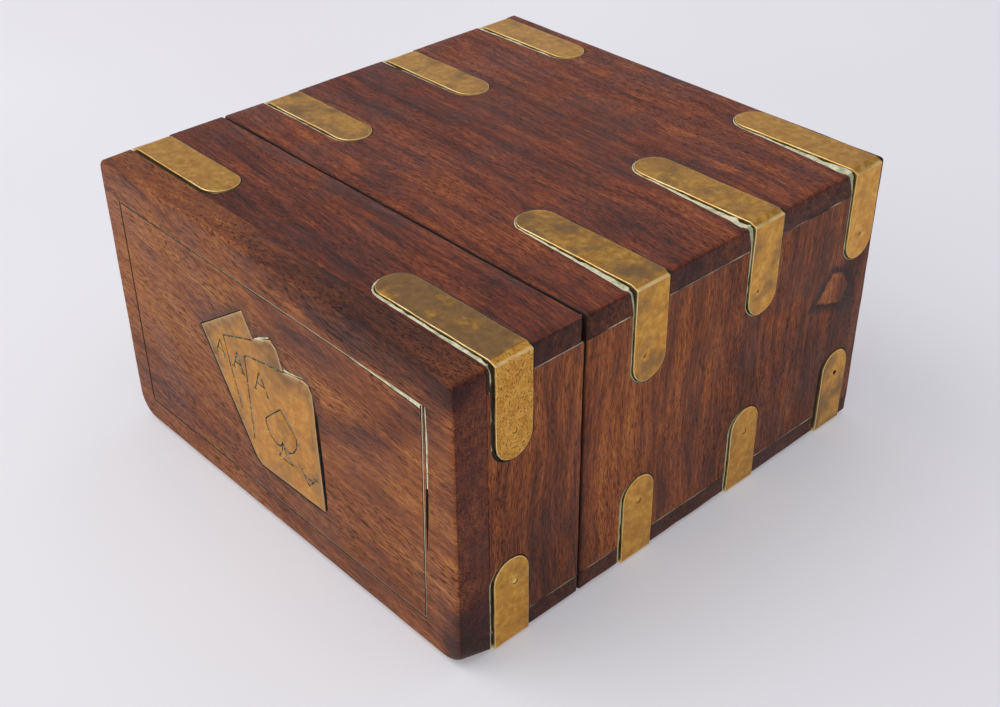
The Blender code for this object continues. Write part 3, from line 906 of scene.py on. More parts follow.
# How a strap has aged: the tarnish of its flat and side legs, its pits, the width in millimetres of
# the open joint on its front side (flat tip, corner, side leg), how much of that joint's length
# still has filler on the flat and the side leg, and how much of its width the filler covers there.
Look = namedtuple("Look", "flat side pits joint fill cover")
PLAIN_LOOK = Look(0.40, 0.40, 0.3, (0.4, 1.0, 0.7), (0.9, 0.9), (0.9, 0.6))
STRAP_LOOKS = {
    ("cap", "top_right"): Look(0.85, 0.08, 1.0, (0.9, 1.4, 1.0), (1.0, 0.42), (0.9, 0.45)),
    ("base", "top_right_1"): Look(0.58, 0.42, 0.3, (0.3, 2.4, 0.6), (0.95, 0.9), (0.95, 0.75)),
    ("base", "top_right_2"): Look(0.42, 0.42, 0.3, (0.4, 3.1, 0.8), (1.0, 0.9), (1.0, 0.8)),
    ("base", "top_right_3"): Look(0.28, 0.24, 0.3, (0.5, 3.3, 0.7), (1.0, 0.9), (1.0, 0.8)),
    ("cap", "top_left"): Look(0.20, 0.40, 0.4, (1.1, 1.3, 0.6), (0.6, 0.8), (0.3, 0.5)),
    ("base", "top_left_1"): Look(0.50, 0.40, 0.3, (0.5, 0.8, 0.6), (0.75, 0.9), (0.6, 0.6)),
    ("base", "top_left_2"): Look(0.40, 0.40, 0.3, (0.4, 0.9, 0.6), (0.75, 0.9), (0.6, 0.6)),
    ("base", "top_left_3"): Look(0.34, 0.40, 0.3, (0.7, 1.4, 0.6), (0.95, 0.9), (0.8, 0.6)),
    ("cap", "bottom_right"): Look(0.40, 0.34, 0.5, (0.4, 1.0, 1.1), (0.9, 0.8), (0.9, 0.35)),
    ("base", "bottom_right_1"): Look(0.40, 0.34, 0.3, (0.4, 1.0, 1.0), (0.9, 0.95), (0.9, 0.75)),
    ("base", "bottom_right_2"): Look(0.40, 0.42, 0.3, (0.4, 1.0, 1.1), (0.9, 0.95), (0.9, 0.75)),
    ("base", "bottom_right_3"): Look(0.40, 0.58, 0.4, (0.4, 1.0, 1.5), (0.9, 0.12), (0.9, 0.3)),
}


def look_of(strap):
    return STRAP_LOOKS.get((strap.group, strap.tail), PLAIN_LOOK)


# The run over which an open joint goes from its width at the corner to the one on the side leg.
JOINT_TURN = 8 * MM


def joint_width(strap, s):
    """How much wider the mortise is than the strap, on the front side at s."""
    tip, corner, side = (width * MM for width in look_of(strap).joint)
    share = clamp(s / strap.flat_run)
    after = clamp((s - strap.flat_run) / JOINT_TURN)
    width = tip + (corner - tip) * share**1.4
    width += (side - width) * after
    return width * (1 + 0.18 * ripple((s, strap.seed, 0), 4, strap.seed))


def mortise(strap):
    """The cutter of the strap's mortise, with eased upper edges and the open joint on its front."""

    def warp(s, y, inward):
        if y < 0:
            y -= joint_width(strap, s) * min(1.0, -y / strap.half_width)
        return s, y, inward

    middle = strap.half_width - MIDDLE_GAP
    flare = -(MORTISE_EASE + MORTISE_FLARE)
    bed = STRAP_THICK + MORTISE_BED
    levels = (
        (middle, -CUTTER_RISE),
        (flare, -CUTTER_RISE),
        (flare, STRAP_PROUD),
        (-MORTISE_EASE, STRAP_PROUD + MORTISE_FLARE),
        (-MORTISE_EASE, bed),
        (middle, bed),
    )
    return strap.loft(levels, warp, strap.fold)


def strap_piece(strap):
    look = look_of(strap)

    def warp(s, y, inward):
        side = math.copysign(1.0, y)
        share = min(1.0, abs(y) / strap.half_width)
        drift = ripple((s, side * 3 * MM, 0), 9, strap.seed) * STRAP_WANDER
        if inward < STRAP_THICK / 2:
            dent = swell((s, y, 0), 5, strap.seed + 5)
            inward += STRAP_DENT * dent * (1 - share**4)
        return s, y + drift * share * side, inward

    def age(s, inset, inward):
        """The painted highlight on the rims and the crease, the tarnish and the pits at a point."""
        turned = (s - strap.flat_run) / strap.bend_length
        on_side = clamp(turned / 0.2)
        on_edge = inset < STRAP_EDGE and inward < STRAP_THICK
        on_crease = 0.5 < turned < 0.7
        return (
            max(0.9 * on_edge, 0.8 * on_crease),
            look.flat + (look.side - look.flat) * on_side,
            look.pits * (0.35 + 0.65 * on_side),
        )

    edge = STRAP_EDGE
    middle = strap.half_width - MIDDLE_GAP
    levels = (
        (middle, STRAP_THICK),
        (0.0, STRAP_THICK),
        (0.0, edge),
        (0.07 * edge, 0.62 * edge),
        (0.30 * edge, 0.29 * edge),
        (0.62 * edge, 0.07 * edge),
        (edge, 0.0),
        (1.1 * MM, 0.0),
        (2.4 * MM, 0.0),
        (4.0 * MM, 0.0),
        (middle, 0.0),
    )
    bm = strap.loft(levels, warp, strap.crease, ("rim", "tarnish", "pits"), age)
    made = new_object("worn_" + strap.node, bm, [STRAP_BRASS], STRAP_SHARP)
    bore = pin_look(strap)[1] + PIN_CLEAR
    # The pin's bore through the strap is lined with painted shade.
    subtract(made, [pin_mesh(strap, pin_spot(strap), bore, BORE_PROFILE)], GAP_SHADE)
    shade(made, STRAP_SHARP)
    return adopt(made, strap.node)


# ---- pins ----
def pin_spot(strap):
    """The pin's (s, y) on the unrolled strap."""
    low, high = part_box(strap.pin)
    drop = abs((low.z + high.z) / 2 - strap.corner[1])
    return strap.flat_run + strap.bend_length + drop - STRAP_BEND, (low.y + high.y) / 2 - strap.y


def pin_mesh(strap, spot, radius, profile):
    """A turned shape that points into the side. The profile is (share of radius, depth)."""
    turns = [2 * math.pi * i / PIN_SIDES for i in range(PIN_SIDES)]
    rings = []
    for share, depth in profile:
        out = radius * share
        spots = [(spot[0] + out * math.cos(turn), spot[1] + out * math.sin(turn)) for turn in turns]
        rings.append([(strap.fold(s, y, depth),) for s, y in spots])
    return tube(rings)


BORE_PROFILE = ((1.0, -CUTTER_RISE), (1.0, STRAP_THICK + 1.0 * MM))
WOOD_BORE_PROFILE = ((1.0, 0.6 * MM), (1.0, PIN_LENGTH + 0.3 * MM))
HEAD_PROFILE = (
    (0.30, 0.05 * MM),
    (0.62, 0.06 * MM),
    (0.86, 0.10 * MM),
    (1.00, 0.22 * MM),
    (1.00, PIN_LENGTH - 1.5 * MM),
    (0.25, PIN_LENGTH),
)
# How far a pin's head has tarnished, where it differs from its strap, and its radius.
PIN_LOOKS = {
    "cap_pin_bottom_right": (0.0, 0.8 * MM),
    "base_pin_top_right_1": (1.8, 0.45 * MM),
    "base_pin_top_right_2": (1.8, 0.45 * MM),
    "base_pin_top_right_3": (1.8, 0.45 * MM),
    SUNK_PIN: (1.8, 0.7 * MM),
}


def pin_look(strap):
    return PIN_LOOKS.get(strap.pin, (look_of(strap).side, PIN_RADIUS))


def pin_piece(strap):
    sunk = PIN_SUNK if strap.pin == SUNK_PIN else 0.0
    profile = [(share, depth + sunk * (depth < PIN_LENGTH / 2)) for share, depth in HEAD_PROFILE]
    tarnish, radius = pin_look(strap)
    bm = pin_mesh(strap, pin_spot(strap), radius, profile)
    made = new_object("worn_" + strap.pin, bm, [STRAP_BRASS], 40.0)
    set_attribute(made, "tarnish", lambda place: tarnish)
    # A painted highlight on the head of the clean pin.
    set_attribute(made, "rim", lambda place: 0.8 if tarnish == 0 else 0.0)
    return adopt(made, strap.pin)


# ---- filler in the open joint beside each strap ----
# How many of the outline's points past each tip the filler reaches, first the flat leg's tip.
FILLER_PAST_TIPS = (8, 6)
# How green the filler is beside the flat and the side leg.
LEG_GREEN = (0.15, 0.75)
FILLER_SHARP = 60.0


def filler_piece(strap):
    """A crumbly band on the wooden side of the open joint, with a gap beside the brass painted dark
    with shade.

    It runs along the strap's front side and a little way round both tips.
    """
    look = look_of(strap)
    inner = strap.outline(-0.10 * MM)
    outer = strap.outline(-MORTISE_EASE - 0.12 * MM)
    count = len(inner)
    stations = len(strap.stations)
    picks = [i % count for i in range(-FILLER_PAST_TIPS[0], stations + FILLER_PAST_TIPS[1])]
    bed = STRAP_THICK + 0.05 * MM
    low = STRAP_THICK - 0.10 * MM
    rings = []
    for i in picks:
        s, y_out = outer[i]
        if y_out < 0:
            y_out -= joint_width(strap, s) * min(1.0, -y_out / strap.half_width)
        leg = 1 if s > strap.flat_run + strap.bend_length * 0.3 else 0
        crumble = swell((s, 0, 0), 3.2, strap.seed + 11)
        gone = clamp((crumble - look.fill[leg]) / 0.08)
        ragged = 0.8 + 0.5 * ripple((s, 0, 0), 1.6, strap.seed + 4)
        gap = 1 - min(look.cover[leg] * ragged, 1.0)
        top = strap.proud(s) + 0.04 * MM + 0.08 * MM * crumble
        top += (low - top) * gone
        # The third value of each point is painted shade: full on the band's walls and bed down in the
        # joint, and on its top where the filler has crumbled away.
        section = (
            (0.0, bed, 1.0),
            (0.0, low if gap > 0.05 else top + 0.1 * MM, 1.0),
            (gap * 0.85, min(low, top + 0.5 * MM), 1.0),
            (gap, top + 0.08 * MM, gone),
            (gap + (1 - gap) * 0.35, top, gone),
            (gap + (1 - gap) * 0.75, top + 0.01 * MM, gone),
            (1.0, top + 0.08 * MM, gone),
            (1.0, bed, 1.0),
        )
        ring = []
        for share, inward, darkening in section:
            rough = ripple((s, share * 2 * MM, 0), 1.1, strap.seed + 2) * 0.05 * MM
            point_s = inner[i][0] + (s - inner[i][0]) * share
            point_y = inner[i][1] + (y_out - inner[i][1]) * share
            place = strap.fold(point_s, point_y, max(inward + rough, 0.02 * MM))
            ring.append((place, darkening, LEG_GREEN[leg] * (0.6 + 0.4 * crumble)))
        rings.append(ring)
    solid = tube(rings, ("grime_and_shade", "green"))
    made = new_object(f"filler_{strap.group}_{strap.tail}", solid, [FILLER], FILLER_SHARP)
    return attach(made, strap.group)


# ---- the boards of the cap and the base ----
def section_rounds(side, start, end):
    """The eased edges of one board. Start and end are the radii at its -Y and +Y ends."""
    if side in ("left", "right"):
        way = 1 if side == "right" else -1
        return (
            (start, ((0, way), (1, -1)), ()),
            (end, ((0, way), (1, 1)), ()),
        )
    way = 1 if side == "top" else -1
    return (
        (LONG_EDGE, ((2, way), (0, 1)), ()),
        (LONG_EDGE, ((2, way), (0, -1)), ()),
        (start, ((1, -1),), ((2, -way),)),
        (end, ((1, 1),), ((2, -way),)),
    )


def make_boards():
    for group, start, end in (("cap", GLUE_EDGE, SEAM_EDGE), ("base", SEAM_EDGE, BACK_EDGE)):
        for side in ("top", "bottom", "left", "right"):
            upright = side in ("left", "right")
            near = [s for s in STRAPS if s.group == group and side in (s.z_name, s.x_name)]
            rounds = section_rounds(side, start, end)
            if (group, side) == ("cap", "top"):
                rounds = ((CAP_CORNER, ((0, 1), (1, 1)), ()), *rounds)
            bores = []
            if upright:
                bores = [
                    pin_mesh(s, pin_spot(s), pin_look(s)[1] + PIN_CLEAR, WOOD_BORE_PROFILE)
                    for s in near
                ]
            low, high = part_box(f"{group}_{side}_board")
            worn_board(
                f"{group}_{side}_board",
                0 if upright else 2,
                rounds,
                SIDE_WOOD if upright else PLANK_WOOD,
                [mortise(s) for s in near],
                bores,
                high.y if group == "cap" else low.y,
            )


def make_inside():
    """The back panel, the lining boards and the divider between the wells."""
    worn_board("back_panel", 1, ((GLUE_EDGE, ((1, 1),), ()),), BACK_WOOD)
    for side, axis, way in (("top", 2, 1), ("bottom", 2, -1), ("left", 0, -1), ("right", 0, 1)):
        rounds = (
            (LIP_CHAMFER, ((1, -1), (axis, way)), ()),
            (LINER_EDGE, ((1, -1), (axis, -way)), ()),
        )
        worn_board(f"liner_{side}", axis, rounds, LINER_WOOD)
    rounds = ((LIP_CHAMFER, ((1, -1), (0, 1)), ()), (LIP_CHAMFER, ((1, -1), (0, -1)), ()))
    worn_board("well_divider", 0, rounds, LINER_WOOD)


# ---- the cap panel and its inlay ----
PANEL_LOW, PANEL_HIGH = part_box("cap_front_panel")
FRONT = PANEL_LOW.y


def on_panel(x, z, depth):
    """A place on the panel: x from its left side and z from the ground in millimetres."""
    return Vector((PANEL_LOW.x + x * MM, FRONT + depth, z * MM))


def copied(node):
    """The CAD node's mesh as a clean bmesh with flat faces merged."""
    bm = bmesh.new()
    bm.from_mesh(frame["nodes"][node].data)
    bmesh.ops.remove_doubles(bm, verts=bm.verts, dist=1e-6)
    bmesh.ops.dissolve_limit(
        bm, angle_limit=math.radians(0.5), verts=bm.verts, edges=bm.edges, use_dissolve_boundaries=False
    )
    return bm


def plate_outline():
    """The fan plate's corners in order, from the CAD plate's front face."""
    bm = copied("card_fan_plate")
    face = min(bm.faces, key=lambda f: f.calc_center_median().y)
    corners = [vert.co.copy() for vert in face.verts]
    bm.free()
    return corners


PLATE_CORNERS = plate_outline()

PANEL_GRID = 3.0 * MM
PANEL_WAVINESS = 0.06 * MM
PANEL_NIBBLE = 0.18 * MM
# The groove and the plate's pocket lie inside this margin, their faces this deep behind the front.
PANEL_MARGIN = 6.0 * MM
SUNK_RANGE = (0.2 * MM, 3.0 * MM)
PLATE_GRID = 2.5 * MM
PLATE_EDGE = 0.22 * MM
PLATE_DENT = 0.07 * MM
# How far in from the plate's edges the painted highlight reaches.
PLATE_HIGHLIGHT = 0.35 * MM
# How far grime reaches from the plate: above a height on the panel, and below it.
GRIME_TURN = 56 * MM
GRIME_ABOVE, GRIME_BELOW = 4.0 * MM, 1.6 * MM
LINE_DEPTH = 1.2 * MM
LINE_CLEAR = 0.2 * MM
LINE_STEPS = 48
GROOVE_SHARES = (0.25, 0.75)


def groove_corners():
    """The CAD groove's outer and inner corners, clockwise from its lower left."""
    floor = FRONT + LINE_DEPTH + LINE_CLEAR
    vertices = frame["nodes"]["cap_front_panel"].data.vertices
    spots = {(round(v.co.x, 5), round(v.co.z, 5)) for v in vertices if abs(v.co.y - floor) < 1e-5}
    middle = (PANEL_LOW + PANEL_HIGH) / 2
    outer, inner = [], []
    for x_way, z_way in ((-1, -1), (-1, 1), (1, 1), (1, -1)):
        reach = sorted(
            (abs(x - middle.x), x, z)
            for x, z in spots
            if (x - middle.x) * x_way > 0 and (z - middle.z) * z_way > 0
        )
        inner.append(Vector((reach[0][1], FRONT, reach[0][2])))
        outer.append(Vector((reach[-1][1], FRONT, reach[-1][2])))
    return outer, inner


CAD_OUTER, CAD_INNER = groove_corners()
# The groove has closed up round its line, to the middle half of its CAD width.
GROOVE_OUTER, GROOVE_INNER = (
    [out.lerp(into, share) for out, into in zip(CAD_OUTER, CAD_INNER)] for share in GROOVE_SHARES
)


def narrow_groove(bm):
    for vert in bm.verts:
        for old, new in ((CAD_OUTER, GROOVE_OUTER), (CAD_INNER, GROOVE_INNER)):
            for from_corner, to_corner in zip(old, new):
                if math.hypot(vert.co.x - from_corner.x, vert.co.z - from_corner.z) < 0.02 * MM:
                    vert.co.x, vert.co.z = to_corner.x, to_corner.z


def segment_distance(point, start, end):
    along = end - start
    share = clamp((point - start).dot(along) / along.length_squared)
    return (point - start - along * share).length


def plate_distance(point):
    flat = Vector((point.x, 0, point.z))
    corners = [Vector((c.x, 0, c.z)) for c in PLATE_CORNERS]
    return min(segment_distance(flat, corners[i - 1], corners[i]) for i in range(len(corners)))


def panel_piece():
    node = "cap_front_panel"
    bm = copied(node)
    narrow_groove(bm)
    add_grid(bm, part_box(node), 1, PANEL_GRID)
    wear(bm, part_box(node), PANEL_WAVINESS, PANEL_NIBBLE)
    made = new_object("worn_" + node, bm, [PANEL_WOOD, GAP_SHADE])
    if "custom_normal" in made.data.attributes:
        made.data.attributes.remove(made.data.attributes["custom_normal"])
    # The groove's and the plate pocket's faces take the painted shade.
    for face in made.data.polygons:
        centre = face.center
        inside = (
            PANEL_LOW.x + PANEL_MARGIN < centre.x < PANEL_HIGH.x - PANEL_MARGIN
            and PANEL_LOW.z + PANEL_MARGIN < centre.z < PANEL_HIGH.z - PANEL_MARGIN
        )
        sunk = FRONT + SUNK_RANGE[0] < centre.y < FRONT + SUNK_RANGE[1]
        if inside and sunk:
            face.material_index = 1
    # The scars' cut walls take the painted shade.
    subtract(made, scar_cutters(), GAP_SHADE)
    shade(made)

    # Here the attribute is a real stain round the plate.
    def grime_and_shade(place):
        if place.y > FRONT + 1 * MM:
            return 0.0
        reach = GRIME_ABOVE if place.z > GRIME_TURN else GRIME_BELOW
        return 0.85 * max(0.0, 1 - plate_distance(place) / reach)

    set_attribute(made, "grime_and_shade", grime_and_shade)
    return adopt(made, node)


# Scribed lines on the plate, each a run of points as on_panel takes them.
CARD_EDGES = (
    ((57.2, 57.2), (60.0, 58.2), (66.0, 60.4), (71.8, 62.5)),
    ((57.2, 57.2), (59.0, 48.0), (62.4, 35.0)),
    ((67.0, 54.6), (67.9, 55.5), (76.5, 57.3), (85.3, 58.8)),
    ((67.0, 54.6), (66.9, 40.4), (66.9, 27.0)),
)
# A scribed line's width and its overlap at corners in millimetres, its depth, and how far its
# cutter rises above the plate, as a share of that depth.
SCRIBE_WIDTH = 0.50
SCRIBE_OVERLAP = 0.1
SCRIBE_DEPTH = 0.30 * MM
SCRIBE_RISE = 1.2


def letter_a(apex, left_foot, right_foot):
    """The strokes of a plain capital A: two legs with small feet, and a bar."""
    apex, left_foot, right_foot = (Vector(p) for p in (apex, left_foot, right_foot))
    foot = (right_foot - left_foot).normalized() * 0.7
    bar_left, bar_right = apex.lerp(left_foot, 0.62), apex.lerp(right_foot, 0.62)
    return (
        (apex, left_foot),
        (apex, right_foot),
        (bar_left, bar_right),
        (left_foot - foot, left_foot + foot),
        (right_foot - foot, right_foot + foot),
    )


def spade(apex, lobes, notch, feet):
    """The outline of a spade: straight sides to its apex, a round lobe each side, a flared stem."""
    apex, notch = Vector(apex), Vector(notch)
    strokes = []
    for lobe, foot in zip(map(Vector, lobes), map(Vector, feet)):
        centre = lobe.lerp(notch, 0.5)
        out = (lobe - centre) * 0.9
        down = Vector((0, -out.length))
        round_lobe = [
            centre + out * math.cos(angle) + down * math.sin(angle)
            for angle in (-0.3, 0.15, 0.7, 1.3, 1.9, 2.5)
        ]
        waist = notch.lerp(foot, 0.55) + Vector((0.45 * (notch.x - foot.x), 0)) * 0.6
        strokes.append([apex, *round_lobe, notch])
        strokes.append([notch, waist, foot])
    strokes.append([Vector(foot) for foot in feet])
    return strokes


def scribe(points):
    """Wedge cutters along a run of points."""
    wedges = []
    for start, end in zip(points, points[1:]):
        start, end = Vector(start[:2]), Vector(end[:2])
        along = (end - start).normalized()
        across = Vector((-along.y, along.x)) * SCRIBE_WIDTH / 2 * (1 + SCRIBE_RISE)
        rings = []
        for spot in (start - along * SCRIBE_OVERLAP, end + along * SCRIBE_OVERLAP):
            upper = [on_panel(*(spot + way * across), -SCRIBE_DEPTH * SCRIBE_RISE) for way in (1, -1)]
            rings.append([(place,) for place in (*upper, on_panel(*spot, SCRIBE_DEPTH))])
        wedges.append(tube(rings))
    return wedges


def plate_piece():
    node = "card_fan_plate"
    bm = copied(node)
    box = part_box(node)
    rim_edges = [e for e in bm.edges if all(abs(v.co.y - box[0].y) < 1e-6 for v in e.verts)]
    bmesh.ops.bevel(
        bm, geom=rim_edges, offset=PLATE_EDGE, segments=3, profile=0.5, affect="EDGES"
    )
    add_grid(bm, box, 1, PLATE_GRID)
    for vert in bm.verts:
        if vert.co.y < box[0].y + 0.1 * MM:
            vert.co.y += PLATE_DENT * swell(vert.co, 6, 4.0)
    made = new_object("worn_" + node, bm, [PLATE_BRASS])
    strokes = [
        *CARD_EDGES,
        *letter_a((55.0, 54.6), (52.6, 50.0), (56.8, 48.8)),
        *letter_a((63.2, 54.4), (60.8, 48.6), (65.4, 48.2)),
        *letter_a((73.3, 52.7), (70.6, 46.2), (76.8, 46.0)),
        *letter_a((92.4, 24.7), (95.9, 28.7), (89.3, 29.2)),
        *spade((81.9, 44.9), ((73.7, 37.2), (88.8, 37.6)), (81.3, 33.4), ((79.0, 27.8), (85.3, 27.4))),
    ]
    wedges = [wedge for run in strokes for wedge in scribe(run)]
    subtract(made, wedges, GREEN_POLISH, crossing=True)
    shade(made)
    set_attribute(made, "tarnish", lambda p: 0.40 + 0.25 * max(0.0, 1 - plate_distance(p) / (4 * MM)))
    set_attribute(made, "pits", lambda p: 0.45)
    # Painted highlight along the plate's edges.
    set_attribute(made, "rim", lambda p: 0.9 * max(0.0, 1 - plate_distance(p) / PLATE_HIGHLIGHT))
    return adopt(made, node)


def mitred_strip(name, start, end, section):
    """A strip along the panel's border. Section(share) lists (across, depth) round it."""
    along = end - start
    direction = along.normalized()
    across = Vector((-direction.z, 0, direction.x))
    rings = []
    for i in range(LINE_STEPS + 1):
        share = i / LINE_STEPS
        ring = []
        for sideways, depth in section(share):
            inset = -sideways
            run = inset + (along.length - 2 * inset) * share
            ring.append((start + direction * run + across * sideways + Vector((0, depth, 0)),))
        rings.append(ring)
    return new_object(name, tube(rings), [LINE_BRASS], 50.0)


# How worn each side's line is: its depth below the panel; and how strong the painted highlight on it is
# at its two ends.
BORDER_LOOKS = (
    ("left", 0.16 * MM, (0.05, 0.0)),
    ("top", 0.02 * MM, (0.0, 0.9)),
    ("right", 0.02 * MM, (0.9, 0.15)),
    ("bottom", 0.08 * MM, (0.35, 0.0)),
)


def border_pieces():
    """Four brass strips, each running clockwise with its outer edge at across=0."""
    for i, (side, sunk, painted_highlight) in enumerate(BORDER_LOOKS):
        start, end = GROOVE_OUTER[i], GROOVE_OUTER[(i + 1) % 4]

        def section(share, seed=i * 3.7, sunk=sunk, length=(end - start).length):
            spot = share * length
            sag = sunk + 0.08 * MM * swell((spot, 0, 0), 7, seed)
            rock = 0.05 * MM * ripple((spot, 0, 0), 5, seed + 2)
            return (
                (-0.05 * MM, LINE_DEPTH),
                (-0.05 * MM, 0.24 * MM + sag),
                (-0.16 * MM, 0.03 * MM + sag + rock * (rock > 0)),
                (-0.42 * MM, 0.03 * MM + sag - rock * (rock < 0)),
                (-0.55 * MM, 0.24 * MM + sag),
                (-0.55 * MM, LINE_DEPTH),
            )

        def shine(place, start=start, along=end - start, painted_highlight=painted_highlight):
            share = (place - start).dot(along) / along.length_squared
            return painted_highlight[0] + (painted_highlight[1] - painted_highlight[0]) * clamp(share) ** 1.5

        made = mitred_strip(f"worn_border_line_{side}", start, end, section)
        set_attribute(made, "rim", shine)
        adopt(made, f"border_line_{side}")


# Broken wood beside the border line, as runs of (x, z, width) as on_panel takes them, and the share
# of each run's length where filler is left.
SCARS = (
    (((116.0, 78.9, 0.2), (128.0, 78.7, 0.8), (142.2, 78.2, 1.4)), 1.0),
    (
        (
            (143.9, 79.2, 0.6),
            (144.0, 70.0, 1.1),
            (143.6, 56.0, 0.8),
            (143.2, 48.0, 1.2),
            (142.5, 34.0, 0.2),
        ),
        0.54,
    ),
    (((97.4, 60.6, 0.6), (98.9, 52.0, 1.7), (99.6, 36.0, 1.8), (99.8, 20.5, 1.0)), 0.0),
    (((72.9, 63.4, 0.7), (76.0, 65.0, 1.0), (80.4, 67.3, 0.6)), 1.0),
    (((85.8, 59.8, 1.0), (90.0, 60.4, 0.7), (94.4, 61.5, 0.5)), 1.0),
)
SCAR_DEPTH = 0.7 * MM
SCAR_STEP = 0.8


def scar_spots(run, share):
    """The run in even steps, from its start to the given share of its length."""
    points = [Vector(point) for point in run]
    lengths = [(b - a).length for a, b in zip(points, points[1:])]
    count = round(sum(lengths) * share / SCAR_STEP)
    spots = []
    for step in range(count + 1):
        left = sum(lengths) * share * step / count
        leg = 0
        while leg < len(lengths) - 1 and left > lengths[leg]:
            left -= lengths[leg]
            leg += 1
        spots.append(points[leg].lerp(points[leg + 1], left / lengths[leg]))
    return spots


def scar_solid(spots, section):
    """A closed band along the spots. Section(spot) lists (share of the half width, depth)."""
    rings = []
    for i, spot in enumerate(spots):
        along = spots[min(i + 1, len(spots) - 1)] - spots[max(i - 1, 0)]
        across = Vector((-along.y, along.x)).normalized() * spot.z / 2
        wobble = 1 + 0.35 * ripple((spot.x * MM, 0, spot.y * MM), 2.2, 6.0)
        ring = []
        for sideways, depth in section(spot):
            point = Vector((spot.x, spot.y)) + across * sideways * wobble
            ring.append((on_panel(*point, depth),))
        rings.append(ring)
    return tube(rings)


def scar_cutters():
    outline = ((-1, -SCAR_DEPTH), (1, -SCAR_DEPTH), (0.8, SCAR_DEPTH), (-0.8, SCAR_DEPTH))
    return [scar_solid(scar_spots(run, 1.0), lambda spot: outline) for run, _ in SCARS]


def scar_fillers():
    def section(spot):
        crumb = 0.10 * MM * swell((spot.x * MM, 0, spot.y * MM), 1.2, 3.0)
        return (
            (-0.9, SCAR_DEPTH),
            (-0.9, 0.16 * MM + crumb),
            (-0.3, 0.03 * MM + crumb),
            (0.4, 0.02 * MM + crumb),
            (0.9, 0.14 * MM + crumb),
            (0.9, SCAR_DEPTH),
        )

    for number, (run, share) in enumerate(SCARS):
        if share > 0:
            solid = scar_solid(scar_spots(run, share), section)
            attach(new_object(f"filler_panel_{number}", solid, [FILLER], FILLER_SHARP), "cap")


# ---- glue squeezed out of the joints on the right side ----
# A glue line's section: how far out of the face and how far up from the joint.
GLUE_SECTION = (
    (-0.25 * MM, -0.10 * MM),
    (0.0, -0.16 * MM),
    (0.05 * MM, 0.0),
    (0.0, 0.16 * MM),
    (-0.25 * MM, 0.10 * MM),
)
GLUE_STEP = 1.2 * MM
# How far a glue line stops short of a board's end, a strap's front side and its back side.
GLUE_END, GLUE_BEFORE, GLUE_AFTER = 0.8 * MM, 1.8 * MM, 0.5 * MM


def glue_lines():
    """Pale lines along the top and bottom boards' joints with the side board, between the straps."""
    for group in ("cap", "base"):
        for z_name in ("top", "bottom"):
            low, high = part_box(f"{group}_{z_name}_board")
            joint = low.z if z_name == "top" else high.z
            near = [s for s in STRAPS if (s.group, s.z_name, s.x_way) == (group, z_name, 1)]
            stops = [low.y + GLUE_END]
            for strap in sorted(near, key=lambda s: s.y):
                stops.append(strap.y - strap.half_width - GLUE_BEFORE)
                stops.append(strap.y + strap.half_width + GLUE_AFTER)
            stops.append(high.y - GLUE_END)
            for number, (start, end) in enumerate(zip(stops[::2], stops[1::2])):
                glue_line(f"glue_{group}_{z_name}_{number}", group, high.x, joint, start, end)


def glue_line(name, group, x, z, start, end):
    """One glue line, which thins out and darkens where the glue is gone."""
    count = max(4, round((end - start) / GLUE_STEP))
    rings = []
    for i in range(count + 1):
        y = start + (end - start) * i / count
        there = clamp(0.35 + 0.9 * ripple((y, z, 0), 6, 5.0))
        rise = 0.5 + 0.5 * there
        rings.append([((x + out, y, z + up * rise), 1 - there) for out, up in GLUE_SECTION])
    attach(new_object(name, tube(rings, ("grime_and_shade",)), [FILLER], FILLER_SHARP), group)


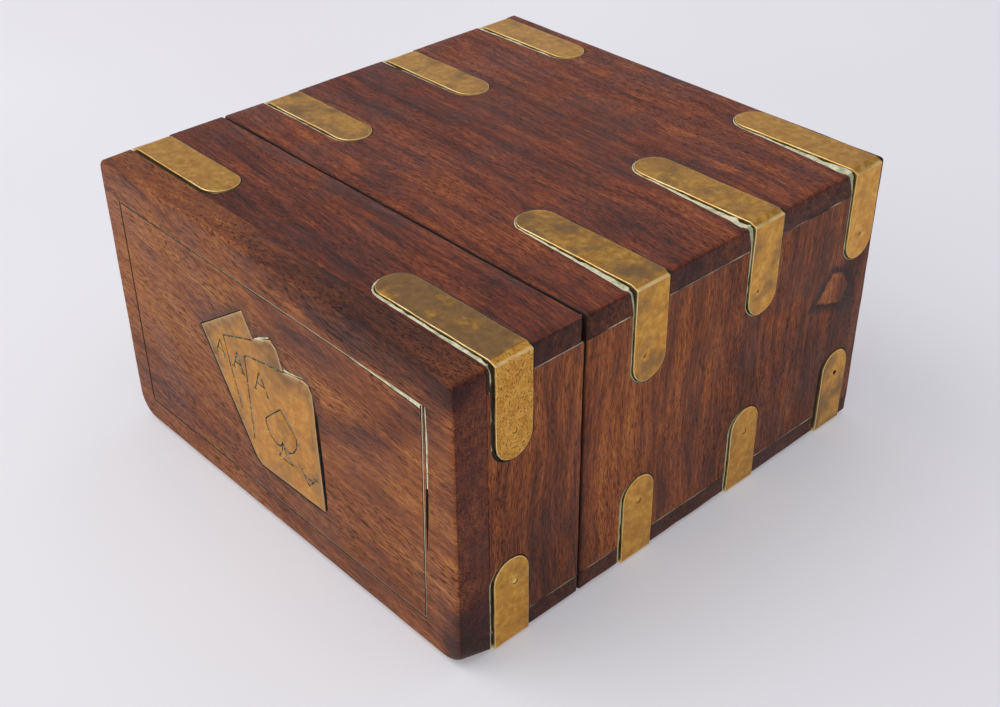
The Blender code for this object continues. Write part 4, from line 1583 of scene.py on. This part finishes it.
# ---- stage, light and camera ----
def make_floor():
    bm = bmesh.new()
    bmesh.ops.create_grid(bm, x_segments=8, y_segments=8, size=FLOOR_HALF)
    floor = linked("floor", bm, [cloth_floor()])
    floor.location.z = FLOOR_LEVEL
    floor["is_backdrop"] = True


def make_world():
    world = bpy.data.worlds.new("studio")
    bpy.context.scene.world = world
    world.use_nodes = True
    tree = world.node_tree
    background = tree.nodes["Background"]
    direction = tree.nodes.new("ShaderNodeTexCoord").outputs["Generated"]
    height = tree.nodes.new("ShaderNodeSeparateXYZ")
    share = tree.nodes.new("ShaderNodeMapRange")
    share.inputs["From Min"].default_value = -1.0
    ramp = tree.nodes.new("ShaderNodeValToRGB")
    set_ramp(ramp, [((sine + 1) / 2, colour) for sine, colour in SKY_STOPS])
    tree.links.new(direction, height.inputs[0])
    tree.links.new(height.outputs["Z"], share.inputs["Value"])
    tree.links.new(share.outputs[0], ramp.inputs["Fac"])
    tree.links.new(ramp.outputs["Color"], background.inputs["Color"])


def placed(name, data, place, looking, roll=0.0):
    """A lamp or camera in the scene, at a place and looking along a direction."""
    made = bpy.data.objects.new(name, data)
    made.location = place
    made.rotation_mode = "QUATERNION"
    made.rotation_quaternion = looking.to_track_quat("-Z", "Y") @ Quaternion((0, 0, 1), roll)
    bpy.context.scene.collection.objects.link(made)
    return made


def make_key_light():
    light = bpy.data.lights.new("key", "AREA")
    light.shape = "DISK"
    light.size = KEY_SIZE
    light.energy = KEY_POWER
    light.color = KEY_COLOUR
    placed("key", light, KEY_PLACE, -KEY_PLACE)


def make_camera():
    data = bpy.data.cameras.new("camera")
    data.lens = CAMERA_LENS
    data.sensor_width = CAMERA_SENSOR
    data.clip_start = 0.01
    flat = math.cos(CAMERA_ELEVATION)
    looking = Vector((
        -math.sin(CAMERA_AZIMUTH) * flat,
        math.cos(CAMERA_AZIMUTH) * flat,
        -math.sin(CAMERA_ELEVATION),
    ))
    bpy.context.scene.camera = placed("camera", data, CAMERA_PLACE, looking, CAMERA_ROLL)


make_camera()
make_world()
make_key_light()
make_floor()
bpy.context.scene.view_settings.view_transform = "Standard"

make_boards()
make_inside()
panel_piece()
plate_piece()
border_pieces()
scar_fillers()
glue_lines()
for strap in STRAPS:
    strap_piece(strap)
    pin_piece(strap)
    filler_piece(strap)

bpy.context.view_layer.update()
boxes = {"cad": CAD_BOX, "visual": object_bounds()}
{key: [list(corner) for corner in box] for key, box in boxes.items()}
